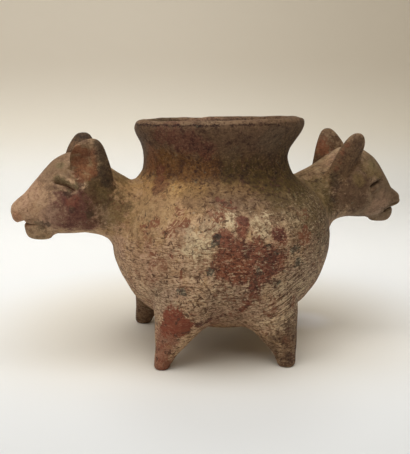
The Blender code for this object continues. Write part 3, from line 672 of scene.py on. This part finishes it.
# Rings along each animal, from inside the globe to the nose: reach from the joint, top, underside and half
# width.
HEAD_RINGS = {
    "left": (
        (-0.0240, 0.0915, 0.0500, 0.0225), (-0.0110, 0.0990, 0.0585, 0.0200),
        (0.0, 0.1064, 0.0662, 0.0183), (0.0077, 0.1104, 0.0688, 0.0186),
        (0.0157, 0.1114, 0.0693, 0.0182), (0.0227, 0.1087, 0.0695, 0.0158),
        (0.0282, 0.1037, 0.0709, 0.0130), (0.0337, 0.0972, 0.0738, 0.0106),
        (0.0392, 0.0915, 0.0753, 0.0088), (0.0437, 0.0880, 0.0757, 0.0072),
        (0.0466, 0.0850, 0.0778, 0.0050), (0.0475, 0.0815, 0.0815, 0.0001),
    ),
    "right": (
        (-0.0240, 0.0915, 0.0500, 0.0225), (-0.0110, 0.0990, 0.0590, 0.0200),
        (0.0, 0.1060, 0.0672, 0.0183), (0.0077, 0.1102, 0.0700, 0.0188),
        (0.0157, 0.1106, 0.0706, 0.0184), (0.0227, 0.1076, 0.0704, 0.0164),
        (0.0282, 0.1036, 0.0706, 0.0138), (0.0337, 0.0974, 0.0712, 0.0112),
        (0.0386, 0.0890, 0.0738, 0.0088), (0.0426, 0.0850, 0.0750, 0.0074),
        (0.0454, 0.0824, 0.0762, 0.0050), (0.0463, 0.0796, 0.0796, 0.0001),
    ),
}
JOINT_SHARE = 2 / 11
BOXINESS, NARROWING = 0.92, 0.10
HEAD_ROUND = 220


def animal_skin(side, share, turn):
    """Neck and head as ovals along the snout: each ring's top, underside and half width run smoothly through
    the rings given, and each oval is a little boxy and narrower above than below."""
    reach, top, under, half = np.moveaxis(through(HEAD_RINGS[side], share), -1, 0)
    across = np.sign(np.cos(turn)) * np.abs(np.cos(turn)) ** BOXINESS
    upward = np.sign(np.sin(turn)) * np.abs(np.sin(turn)) ** BOXINESS
    wide = half * across * (1 - NARROWING * upward)
    tall = (top + under) / 2 + (top - under) / 2 * upward
    return np.stack([NECK_JOINT + reach + 0 * turn, wide, tall], -1)


def neck_tube(side):
    """The animal's first rings read backwards: share 0 at the joint with the head, 1 inside the globe."""
    return lambda share, turn: animal_skin(side, JOINT_SHARE * (1 - share), turn)


def on_side(side, points):
    """Points made for the right, turned to face left where the animal does."""
    return points * (np.array([-1.0, 1.0, 1.0]) if side == "left" else 1.0)


# A near-black brown: partly the clay's own colour, partly painted shade on the heads.
CHAR_AND_SHADE = tone(54, 41, 29)
SAGE = tone(116, 100, 68)
MAROON = tone(92, 46, 38)
MAUVE = tone(122, 88, 76)
MOSS = tone(118, 98, 54)
HEAD_SLIPS = (
    (DRAB, 0.50, 0.2, 0.88, ((92, 0, 88, 30),)),
    (UMBER, 0.35, 0.6, 0.80, (
        (76, -18, 91, 10), (75, -18, 84, 8), (70, -17, 105, 13), (71, 18, 106, 12), (72, -16, 98, 8))),
    (DRAB, 0.50, 0.3, 0.16, ((-96, 0, 86, 28),)),
    (PINK, 0.40, 0.4, 0.45, ((-104, 0, 89, 20), (94, -12, 77, 8), (64, -8, 107, 7))),
    (UMBER, 0.35, 0.6, 0.85, (
        (-71, -20, 94, 7), (-67, -19, 93, 8), (-66, -18, 100, 6), (-72, 20, 92, 12), (-74, 16, 112, 9),
        (-78, -17, 97, 3), (-77.5, -19, 96, 2.6), (-76, -19, 98, 2.4))),
    (UMBER, 0.40, 0.5, 0.60, ((-88, -8, 105, 13), (-77, -18.5, 118.5, 2.6))),
    (MAUVE, 0.45, 0.5, 0.60, ((-93, -13.5, 83, 6), (-92, -13.5, 78.5, 5.5), (-80, -18, 85, 12))),
    (MOSS, 0.45, 0.6, 0.50, (
        (77, -17.5, 94, 4), (86, -14.5, 100, 5), (91, -14.5, 96, 3.5), (54, -14.5, 91.5, 7),
        (56, -19.5, 83.5, 7), (-69, -17.5, 91, 5))),
    (MAROON, 0.60, 0.55, 0.86, (
        (-86, -17, 88, 6), (-83, -18, 85, 8), (-77, -18, 87, 7), (-80, -17, 82, 8), (-84, -15, 78, 6),
        (-75, -15, 76, 6), (86, 18, 80, 8), (-85, 17, 82, 8))),
    (BRICK, 0.40, 0.7, 0.55, ((-83, -17.5, 88, 3.4),)),
    (CHAR_AND_SHADE, 0.35, 0.8, 0.65, (
        (-83.5, -17.5, 84, 1.6), (-74.5, -17.5, 81, 2), (-85, -17, 92.5, 2.4), (-98, -8, 75, 2.6),
        (-94, -10.5, 76, 1.6))),
    (SAGE, 0.35, 0.5, 0.75, (
        (-89.5, -13, 99.5, 2.2), (-86.5, -14.5, 98.5, 2.4), (-84, -16.5, 97, 2.6), (-81.5, -18, 96, 2.4),
        (-87, -9.5, 106, 2.6), (88.5, -12, 102, 4))),
    (SAGE, 0.35, 0.6, 0.40, ((-101, -7, 69, 6),)),
    (DOVE, 0.40, 0.6, 0.40, ((96, -8, 71, 6),)),
    (OLIVE, 0.35, 0.6, 0.60, ((-64, -19, 84, 11), (60, -19, 82, 6), (-57, -8, 99, 6), (-72, -19, 94.5, 5))),
    (OLIVE, 0.45, 0.6, 0.40, ((57, -15, 91, 6),)),
    (RUST, 0.35, 0.6, 0.70, (
        (-79.5, -17, 114, 3), (-76, -16, 113, 3), (-79.5, -14, 109, 3.6), (-75.5, -15, 107.5, 3.6),
        (-72.5, -18, 112.5, 3), (-71.5, -18.5, 108.5, 3), (-72.5, -18, 104.5, 3), (-78, -15.5, 103, 3.2),
        (-76, -16.5, 100, 3), (69, 14, 110, 5))),
    (RUST, 0.40, 0.5, 0.45, (
        (69, -19, 113, 1.6), (66.5, -19, 109, 2), (64, -19, 104.5, 2.2), (62.5, -18, 100.5, 2),
        (-111, -6.5, 80, 3))),
    # Partly painted shade: the first six places are a dark band down the left near ear's rear flank, which
    # faces away from the light, over the clay's own dark colour.
    (CHAR_AND_SHADE, 0.45, 0.4, 0.80, (
        (-69.2, -20, 118, 3), (-67.6, -20, 114, 3.2), (-66.4, -20, 110, 3.5), (-65.5, -20, 106, 3.7),
        (-65, -19.5, 102, 4), (-64.5, -18, 98.5, 4), (-73.5, 17, 119.5, 5))),
    (UMBER, 0.45, 0.5, 0.75, (
        (66, -17.5, 88, 6), (68, -17.5, 82, 6), (72, 15, 120, 3), (77.5, 13, 115, 3),
        (76, -19.5, 116.5, 3.4), (87.5, -17, 87, 1.6))),
    # Partly painted shade: the first three places darken the head under the right near ear's rear ridge and
    # the neck below it, and the last three the crevice along the right mouth's lower edge, partly dirt and
    # partly shade.
    (CHAR_AND_SHADE, 0.50, 0.4, 0.60, (
        (62.5, -17.5, 96.5, 3.4), (64, -17, 93, 2.6), (61, -18, 83.5, 2.4), (102, -5.5, 73.5, 1.3),
        (99.5, -6, 72, 1.3), (97, -6, 70.8, 1.4))),
)
NECK_CLAY = fired_clay("neck_clay", grit=0.9, rubbed=0.3, smoked=0.35, slips=BODY_SLIPS + HEAD_SLIPS,
                       span=(50, 108), beyond=48)
head_turn = full_turn(HEAD_ROUND)
for side in HEAD_RINGS:
    down = (1 - np.sin(head_turn)) / 2
    neck_rise, neck_spread = 0.005 + 0.003 * down, 0.007 + 0.004 * down
    skin = luted(neck_tube(side), globe_depth, head_turn, neck_rise, neck_spread, rows=(30, 40))
    neck = clay_piece(side + "_neck_skin", hand_worked(on_side(side, skin)))
    set_in_place(neck, side + "_neck", NECK_CLAY)

# Heads
# Solid heads shaped between the fingers, long in the snout. The eyes are slits pressed in with a stick under
# a pinched lid, and the mouth is a cut that runs back from under the nose.

EYE_ENDS = {"left": ((0.0250, 0.0996), (0.0148, 0.0940)), "right": ((0.0282, 0.0930), (0.0194, 0.0900))}
EYE_DEPTH = {"left": 0.0036, "right": 0.0030}
EYE_BOW = {"left": 0.0010, "right": 0.0004}
SLIT_ABOVE, SLIT_BELOW = 0.0006, 0.0014
LID_SWELL = {"left": 0.0022, "right": 0.0010}
LID_EDGE, LID_RIDGE, LID_SPAN = 0.0008, 0.0010, 0.0019
LID_FOLD, FOLD_SPAN, FOLD_SHARE = 0.0038, 0.0007, 0.3
POUCH_SWELL, POUCH_RIDGE, POUCH_SPAN, POUCH_FOLD, POUCH_FOLD_SPAN = 0.0006, 0.0030, 0.0014, 0.0050, 0.0008
MOUTH_ENDS = {"left": ((0.0405, 0.0764), (0.0326, 0.0794)), "right": ((0.0405, 0.0766), (0.0320, 0.0742))}
MOUTH_DEPTH, MOUTH_WIDTH = 0.0032, 0.0009
NOSTRIL = {"left": (0.0455, 0.0822), "right": (0.0455, 0.0800)}
NOSTRIL_DEPTH, NOSTRIL_RADIUS = 0.0008, 0.0008
HEAD_ROWS = 170


def along_cut(points, ends):
    """Where points lie against a straight cut seen from the side: share along it, and height above it."""
    start, end = (np.array(p) for p in ends)
    line = end - start
    offset = points[..., [0, 2]] - np.array([NECK_JOINT, 0.0]) - start
    share = (offset @ line) / (line @ line)
    above = (offset @ np.array([line[1], -line[0]])) / np.linalg.norm(line)
    return share, above


def carved(side, points):
    """The head with its cuts: each sinks as a bell curve across its line and fades at its ends. The lid above
    an eye and the pouch below it swell, each with a fold behind. Points move in and out along their oval."""
    middle = points.mean(1, keepdims=True)
    out = points - middle
    out[..., 0] = 0
    out /= np.linalg.norm(out, axis=-1, keepdims=True) + 1e-9
    flank = np.clip(np.abs(out[..., 1]) * 2 - 0.5, 0, 1)
    share, above = along_cut(points, EYE_ENDS[side])
    within = np.clip((0.5 - np.abs(share - 0.5)) * 5 + 0.35, 0, 1)
    bow = above - EYE_BOW[side] * (1 - (2 * share - 1) ** 2)
    slit = -EYE_DEPTH[side] * bell(bow, np.where(bow > 0, SLIT_ABOVE, SLIT_BELOW)) * within
    lid = LID_SWELL[side] * np.clip(bow / LID_EDGE, 0, 1) * bell(bow - LID_RIDGE, LID_SPAN) * within
    lid -= FOLD_SHARE * LID_SWELL[side] * bell(bow - LID_FOLD, FOLD_SPAN) * within
    pouch = POUCH_SWELL * bell(bow + POUCH_RIDGE, POUCH_SPAN)
    pouch -= POUCH_SWELL * bell(bow + POUCH_FOLD, POUCH_FOLD_SPAN)
    share, above = along_cut(points, MOUTH_ENDS[side])
    lips = np.clip(1.15 - share, 0, 1) * np.clip(share * 3 + 1.6, 0, 1)
    mouth = -MOUTH_DEPTH * bell(above, MOUTH_WIDTH) * lips
    prick = points[..., [0, 2]] - np.array([NECK_JOINT, 0.0]) - np.array(NOSTRIL[side])
    nostril = -NOSTRIL_DEPTH * np.exp(-(prick ** 2).sum(-1) / NOSTRIL_RADIUS ** 2) * flank
    return points + ((slit + lid + pouch * within) * flank + mouth + nostril)[..., None] * out


HEAD_CLAY = fired_clay("head_clay", grit=0.65, rubbed=0.0, smoked=0.0, slips=HEAD_SLIPS)
for side in HEAD_RINGS:
    share = JOINT_SHARE + (1 - JOINT_SHARE) * np.linspace(0, 1, HEAD_ROWS)[:, None] ** 0.9
    skin = carved(side, animal_skin(side, share, head_turn[None, :]))
    head = clay_piece(side + "_head_skin", hand_worked(on_side(side, skin)))
    set_in_place(head, side + "_head", HEAD_CLAY)

# Jaws
# A pellet of clay pressed under each snout makes the lower jaw. It is smeared into the throat behind and
# tucked in under the nose in front, where the open mouth is left as a crevice.

JAW_MIDDLE = {"left": 0.0322, "right": 0.0354}
JAW_HALF = {"left": (0.0083, 0.0078), "right": (0.0078, 0.0066)}
JAW_BOTTOM = {"left": 0.0664, "right": 0.0673}
JAW_SQUARENESS = {"left": 2.6, "right": 2.5}
JAW_TOP = 0.0830
JAW_BLEND = {"left": 0.55, "right": 0.35}
JAW_BLUNTNESS, JAW_NARROWING, JAW_PACE = 1.9, 0.12, 1.3


def head_depth(side):
    """Distance outside a head, near enough: how far a point is from the middle of its oval, in ovals, times
    the oval's half width. The oval at any reach is read from a close run of rings."""
    reach, top, under, half = through(HEAD_RINGS[side], np.linspace(0, 1, 600)).T

    def depth(points):
        at = np.clip(points[..., 0] - NECK_JOINT, reach[0], reach[-1] - 0.0002)
        high, low, wide = (np.interp(at, reach, line) for line in (top, under, half))
        tall = (points[..., 2] - (high + low) / 2) / ((high - low) / 2)
        across = points[..., 1] / (wide * (1 - NARROWING * np.clip(tall, -1, 1)))
        power = 2 / BOXINESS
        return wide * ((np.abs(tall) ** power + np.abs(across) ** power) ** (1 / power) - 1)

    return depth


def jaw_tube(side):
    """A blunt dome that stands upside down: level ovals, narrower in front, that swell fast from its bottom
    and then keep their size."""
    power = JAW_SQUARENESS[side]

    def tube(share, turn):
        swell = 0.02 + 0.98 * (1 - (1 - np.clip(share * JAW_BLUNTNESS, 0, 1)) ** power) ** (1 / power)
        x = NECK_JOINT + JAW_MIDDLE[side] + JAW_HALF[side][0] * swell * np.cos(turn)
        y = JAW_HALF[side][1] * swell * np.sin(turn) * (1 - JAW_NARROWING * np.cos(turn))
        z = JAW_BOTTOM[side] + (JAW_TOP - JAW_BOTTOM[side]) * share ** JAW_PACE
        return np.stack([x, y, z + 0 * turn], -1)

    return tube


for side in HEAD_RINGS:
    behind = np.clip((JAW_BLEND[side] - np.cos(small_turn)) / (1 + JAW_BLEND[side]), 0, 1)
    jaw_rise, jaw_spread = 0.0022 + 0.0014 * behind, 0.0090 * behind - 0.0034
    skin = luted(jaw_tube(side), head_depth(side), small_turn, jaw_rise, jaw_spread, rows=(50, 20))
    jaw = clay_piece(side + "_jaw_skin", hand_worked(on_side(side, skin)))
    set_in_place(jaw, side + "_jaw", HEAD_CLAY)

# Ears
# Blunt leaves of clay, pressed over the crown with their roots rubbed into the head. A thumb hollowed the
# outer side towards the front, so that the rear edge stands proud.

EAR_FRONT = np.array([0.0836, 0.0134, 0.1066])
EAR_REAR = np.array([0.0628, 0.0154, 0.0986])
EAR_TIP = {"left_near": (0.0756, 0.0178, 0.1189), "left_far": (0.0729, 0.0172, 0.1211),
           "right_near": (0.0757, 0.0174, 0.1193), "right_far": (0.0728, 0.0172, 0.1209)}
EAR_SHIFT = {"left_near": -0.0002, "left_far": 0.0004, "right_near": -0.0036, "right_far": 0.0010}
EAR_BREADTH = {"left_near": 1.06, "left_far": 1.0, "right_near": 1.04, "right_far": 1.03}
EAR_TOP_TILT = {"left_near": -14, "left_far": -4, "right_near": 0, "right_far": 0}
EAR_TOP_WIDENING = {"left_near": 0.62, "left_far": 0.0, "right_near": 0.0, "right_far": -0.2}
EAR_HOLLOW = {"left_near": 0.0056, "left_far": 0.0040, "right_near": 0.0010, "right_far": 0.0050}
EAR_WIDTHS = ((0.0, 0.0002), (0.0004, 0.0024), (0.0020, 0.0046), (0.0050, 0.0066), (0.0085, 0.0082),
              (0.0130, 0.0096), (0.0180, 0.0105), (0.0270, 0.0110))
EAR_THICKNESS = ((0.0, 0.0002), (0.0004, 0.0014), (0.0020, 0.0026), (0.0050, 0.0036), (0.0085, 0.0042),
                 (0.0130, 0.0045), (0.0180, 0.0045), (0.0270, 0.0044))
TIP_SPAN, TIP_TURN_SPAN = 0.008, 0.016
HOLLOW_TOP, HOLLOW_TOP_SPAN, HOLLOW_BOTTOM, HOLLOW_BOTTOM_SPAN = 0.0012, 0.005, 0.018, 0.008
HOLLOW_MIDDLE, HOLLOW_REAR, HOLLOW_FRONT = 0.10, 0.36, 1.20
FRONT_THINNING, THIN_SPAN = 0.5, 0.010


def ear_tube(ear):
    """A leaf from its tip down to a root sunk in the head: flat ovals, wider and thicker downwards and
    thinned in front, whose long way turns from the tip's own tilt to the line from the front of the root to
    its rear. The outer side sinks in a bell curve near its middle that fades at tip and root."""
    tip = np.array(EAR_TIP[ear])
    along = EAR_FRONT - EAR_REAR
    along /= np.linalg.norm(along)
    tilt = math.radians(EAR_TOP_TILT[ear])
    top_along = np.array([math.cos(tilt), 0.0, math.sin(tilt)])
    centre = (EAR_FRONT + EAR_REAR) / 2 + np.array([EAR_SHIFT[ear], 0.0, 0.0])
    lean = (tip - centre) @ along
    upward = tip - centre - lean * along
    height = np.linalg.norm(upward)
    upward /= height
    outward = np.cross(upward, along)

    def tube(share, turn):
        below, half = np.moveaxis(through(EAR_WIDTHS, share), -1, 0)
        thick = through(EAR_THICKNESS, share)[..., 1]
        rise = height - below
        half = half * EAR_BREADTH[ear] * (1 + EAR_TOP_WIDENING[ear] * np.exp(-below / TIP_SPAN))
        down = np.clip(below / TIP_TURN_SPAN, 0, 1)
        down = (down * down * (3 - 2 * down))[..., None]
        pressed = np.clip((below - HOLLOW_TOP) / HOLLOW_TOP_SPAN, 0, 1)
        pressed = pressed * np.clip((HOLLOW_BOTTOM - below) / HOLLOW_BOTTOM_SPAN, 0, 1)
        forward = np.cos(turn) - HOLLOW_MIDDLE
        dish = bell(forward, np.where(forward < 0, HOLLOW_REAR, HOLLOW_FRONT))
        thin = 1 - FRONT_THINNING * np.clip(np.cos(turn), 0, 1) * np.clip(below / THIN_SPAN, 0, 1)
        outer = np.clip(np.sin(turn) * 1.6, 0, 1)
        face = thick * thin * np.sin(turn) - outer * pressed * EAR_HOLLOW[ear] * dish
        across = (half * np.cos(turn))[..., None] * (top_along + down * (along - top_along))
        spine = centre + (lean * rise / height)[..., None] * along + rise[..., None] * upward
        return spine + across + face[..., None] * outward

    return tube


EAR_CLAY = fired_clay("ear_clay", grit=0.7, rubbed=0.0, smoked=0.5, slips=HEAD_SLIPS, span=(95, 124))
front_edge = np.clip(np.cos(small_turn), 0, 1)
outer_side = np.clip(np.sin(small_turn), 0, 1)
ear_rise = 0.0024 + 0.004 * front_edge + 0.001 * outer_side
ear_spread = 0.0030 + 0.001 * outer_side
for ear_name in EAR_TIP:
    side, place = ear_name.split("_")
    skin = luted(ear_tube(ear_name), head_depth(side), small_turn, ear_rise, ear_spread, rows=(80, 24))
    if place == "near":
        skin = skin * np.array([1.0, -1.0, 1.0])
    ear = clay_piece(ear_name + "_ear_skin", hand_worked(on_side(side, skin)))
    set_in_place(ear, ear_name + "_ear", EAR_CLAY)

# Floor and backdrop
# A wide sheet of pale paper that lies flat under the vase and sweeps up behind it in one curve. Painted shade
# greys it towards the viewer and on the right; it is brightest just behind the vase, where it glows as
# painted light, and tan higher up. Painted shadows darken it round the vase, and a painted light spot clears
# it to the right.

SWEEP_FRONT, SWEEP_BEND, SWEEP_RADIUS, SWEEP_TOP, SWEEP_HALF = -12.0, 0.55, 0.35, 3.0, 12.0
SWEEP_BACK = SWEEP_BEND + SWEEP_RADIUS
PAPER_FRONT_SHADE, WHITE_PAPER = tone(208, 211, 212), tone(250, 253, 255)
STRAW_PAPER, TAN_PAPER = tone(246, 234, 206), tone(213, 203, 186)
PAPER_RIGHT_SHADE, PAINTED_WARM_SHADOW = tone(236, 234, 230), tone(247, 240, 228)
PAINTED_FRONT_SHADOW, PAINTED_UNDER_SHADOW, PAINTED_LIGHT_SPOT = tone(245, 244, 243), tone(242, 239, 235), tone(253, 253, 254)
NO_GLOW, BACK_GLOW, FAR_GLOW = (0.0, 0.0, 0.0, 1.0), (0.12, 0.12, 0.114, 1.0), tone(214, 210, 202)
UNDER_VASE, BEHIND_VASE = (0.0, 0.0, 0.0), (0.0, 0.03, 0.0)
BEFORE_VASE, RIGHT_OF_VASE = (-0.02, -0.08, 0.0), (0.062, 0.022, 0.0)


def paper_sweep():
    """A flat strip, a quarter circle and an upright strip, carried sideways; it is square to the view."""
    bend = np.linspace(0, math.pi / 2, 24)
    run = np.concatenate([[SWEEP_FRONT], SWEEP_BEND + SWEEP_RADIUS * np.sin(bend), [SWEEP_BACK]])
    rise = np.concatenate([[0.0], SWEEP_RADIUS * (1 - np.cos(bend)), [SWEEP_TOP]])
    across = np.linspace(-SWEEP_HALF, SWEEP_HALF, 2)[None, :, None]
    return across * SIDEWAYS + run[:, None, None] * DEEPER + rise[:, None, None] * UP


sheet = paper_sweep()
corner = np.arange(len(sheet) - 1) * 2
strips = np.stack([corner, corner + 1, corner + 3, corner + 2], -1)
paper_mesh = bpy.data.meshes.new("paper_sweep")
paper_mesh.from_pydata(sheet.reshape(-1, 3).tolist(), [], strips.tolist())
paper_mesh.shade_smooth()
paper = bpy.data.objects.new("paper_sweep", paper_mesh)
bpy.context.scene.collection.objects.link(paper)
PAPER = bpy.data.materials.new("pale_paper")
PAPER.use_nodes = True
PAPER_SHADER = PAPER.node_tree.nodes["Principled BSDF"]
paper_here = Wash(PAPER.node_tree).node("TexCoord", {}, {}, 3)
paper_rise = paper_here.axis(2)
paper_depth, paper_side = paper_here.along(DEEPER), paper_here.along(SIDEWAYS)
# Painted shade: the paper is painted greyer towards the viewer, darkest at the front.
paper_colour = paper_depth.step(-0.30, 0.12).between(PAPER_FRONT_SHADE, WHITE_PAPER)
paper_colour = paper_colour.under(STRAW_PAPER, paper_rise.step(-0.02, 0.10) * 0.6)
paper_colour = paper_colour.under(TAN_PAPER, paper_rise.step(-0.03, 0.21))
# Painted shade: the raised back of the paper darkens towards the right, as if the light fell from the left.
paper_colour = paper_colour.stained(PAPER_RIGHT_SHADE, paper_side.step(-0.20, 0.42) * paper_depth.step(0.0, 0.6))
# Painted shadow: a warm darkening of the floor round and behind the vase, standing in for its shadow and the
# warm light it bounces.
warm_shadow = paper_here.away(BEHIND_VASE).step(0.18, 0.07) * paper_depth.step(-0.13, -0.02)
paper_colour = paper_colour.stained(PAINTED_WARM_SHADOW, warm_shadow)
# Painted shadow: a soft darkening of the floor just in front of the vase.
paper_colour = paper_colour.stained(PAINTED_FRONT_SHADOW, paper_here.away(BEFORE_VASE).step(0.075, 0.02))
# Painted shadow: the floor is darker still right under the vase.
paper_colour = paper_colour.stained(PAINTED_UNDER_SHADOW, paper_here.away(UNDER_VASE).step(0.08, 0.02))
# Painted light: a small spot to the right of the vase is lightened, thinning the shadow there.
paper_colour = paper_colour.under(PAINTED_LIGHT_SPOT, paper_here.away(RIGHT_OF_VASE).step(0.024, 0.006) * 0.9)
seen = paper_here.node("LightPath", {}, {}, 0)
# Painted light: the paper glows, though it is no lamp, just behind the vase and more to the left, lighting
# what is near; far off it glows for the camera alone.
paper_glow = paper_depth.step(0.02, 0.30) * paper_rise.step(0.20, 0.0) * paper_side.step(0.7, -0.3)
paper_glow = paper_glow.between(NO_GLOW, BACK_GLOW)
paper_glow = paper_glow.under(FAR_GLOW, paper_here.away(UNDER_VASE).step(1.1, 1.8) * seen)
PAPER.node_tree.links.new(paper_colour.socket, PAPER_SHADER.inputs["Base Color"])
PAPER.node_tree.links.new(paper_glow.socket, PAPER_SHADER.inputs["Emission Color"])
PAPER_SHADER.inputs["Emission Strength"].default_value = 1.0
PAPER_SHADER.inputs["Roughness"].default_value = 0.9
PAPER_SHADER.inputs["Specular IOR Level"].default_value = 0.1
paper_mesh.materials.append(PAPER)

# Light
# A very large soft ceiling light, a little towards the viewer, and a weak window on the left. The room itself
# gives a little warm light from all sides, and looks pale where the camera sees it.

LIGHTS_AIM = 0.06
ROOM_LIGHT, ROOM_SEEN = (0.12, 0.0984, 0.0672, 1.0), tone(205, 196, 180)


def soft_light(name, turn, lift, distance, size, power):
    """A square lamp that faces the vase from a turn round it, away from the viewer, and a lift above it, both
    in degrees."""
    bearing = VIEW_TURN + math.radians(turn)
    lift = math.radians(lift)
    level = -math.cos(lift)
    place = np.array([math.sin(bearing) * level, math.cos(bearing) * level, math.sin(lift)])
    lamp = bpy.data.lights.new(name, "AREA")
    lamp.shape = "SQUARE"
    lamp.size = size
    lamp.energy = power
    holder = bpy.data.objects.new(name, lamp)
    bpy.context.scene.collection.objects.link(holder)
    holder.location = place * distance + LIGHTS_AIM * UP
    holder.rotation_euler = (math.pi / 2 - lift, 0.0, -bearing)


soft_light("ceiling", turn=10, lift=68, distance=1.25, size=1.5, power=19.5)
soft_light("window", turn=62, lift=30, distance=1.4, size=1.1, power=4.0)
room = bpy.data.worlds.new("room")
room.use_nodes = True
room_seen = Wash(room.node_tree).node("LightPath", {}, {}, 0)
room_colour = room_seen.between(ROOM_LIGHT, ROOM_SEEN)
room.node_tree.links.new(room_colour.socket, room.node_tree.nodes["Background"].inputs["Color"])
bpy.context.scene.world = room
bpy.context.scene.view_settings.view_transform = "Standard"

# Camera
# Held a little above the mouth and pointed down, square to the front of the vase but for a small turn. Its
# lens takes in the vase with a narrow margin on both sides.

VIEW_DISTANCE, VIEW_HEIGHT, VIEW_OFFSET, VIEW_DIP = 0.4012, 0.1446, 0.0078, math.radians(10.87)
camera = bpy.data.cameras.new("camera")
camera.sensor_width = 36.0
camera.lens = 57.1
camera.clip_start = 0.01
view = bpy.data.objects.new("camera", camera)
bpy.context.scene.collection.objects.link(view)
view.location = -VIEW_OFFSET * SIDEWAYS - VIEW_DISTANCE * DEEPER + VIEW_HEIGHT * UP
view.rotation_euler = (math.pi / 2 - VIEW_DIP, 0.0, -VIEW_TURN)
bpy.context.scene.camera = view
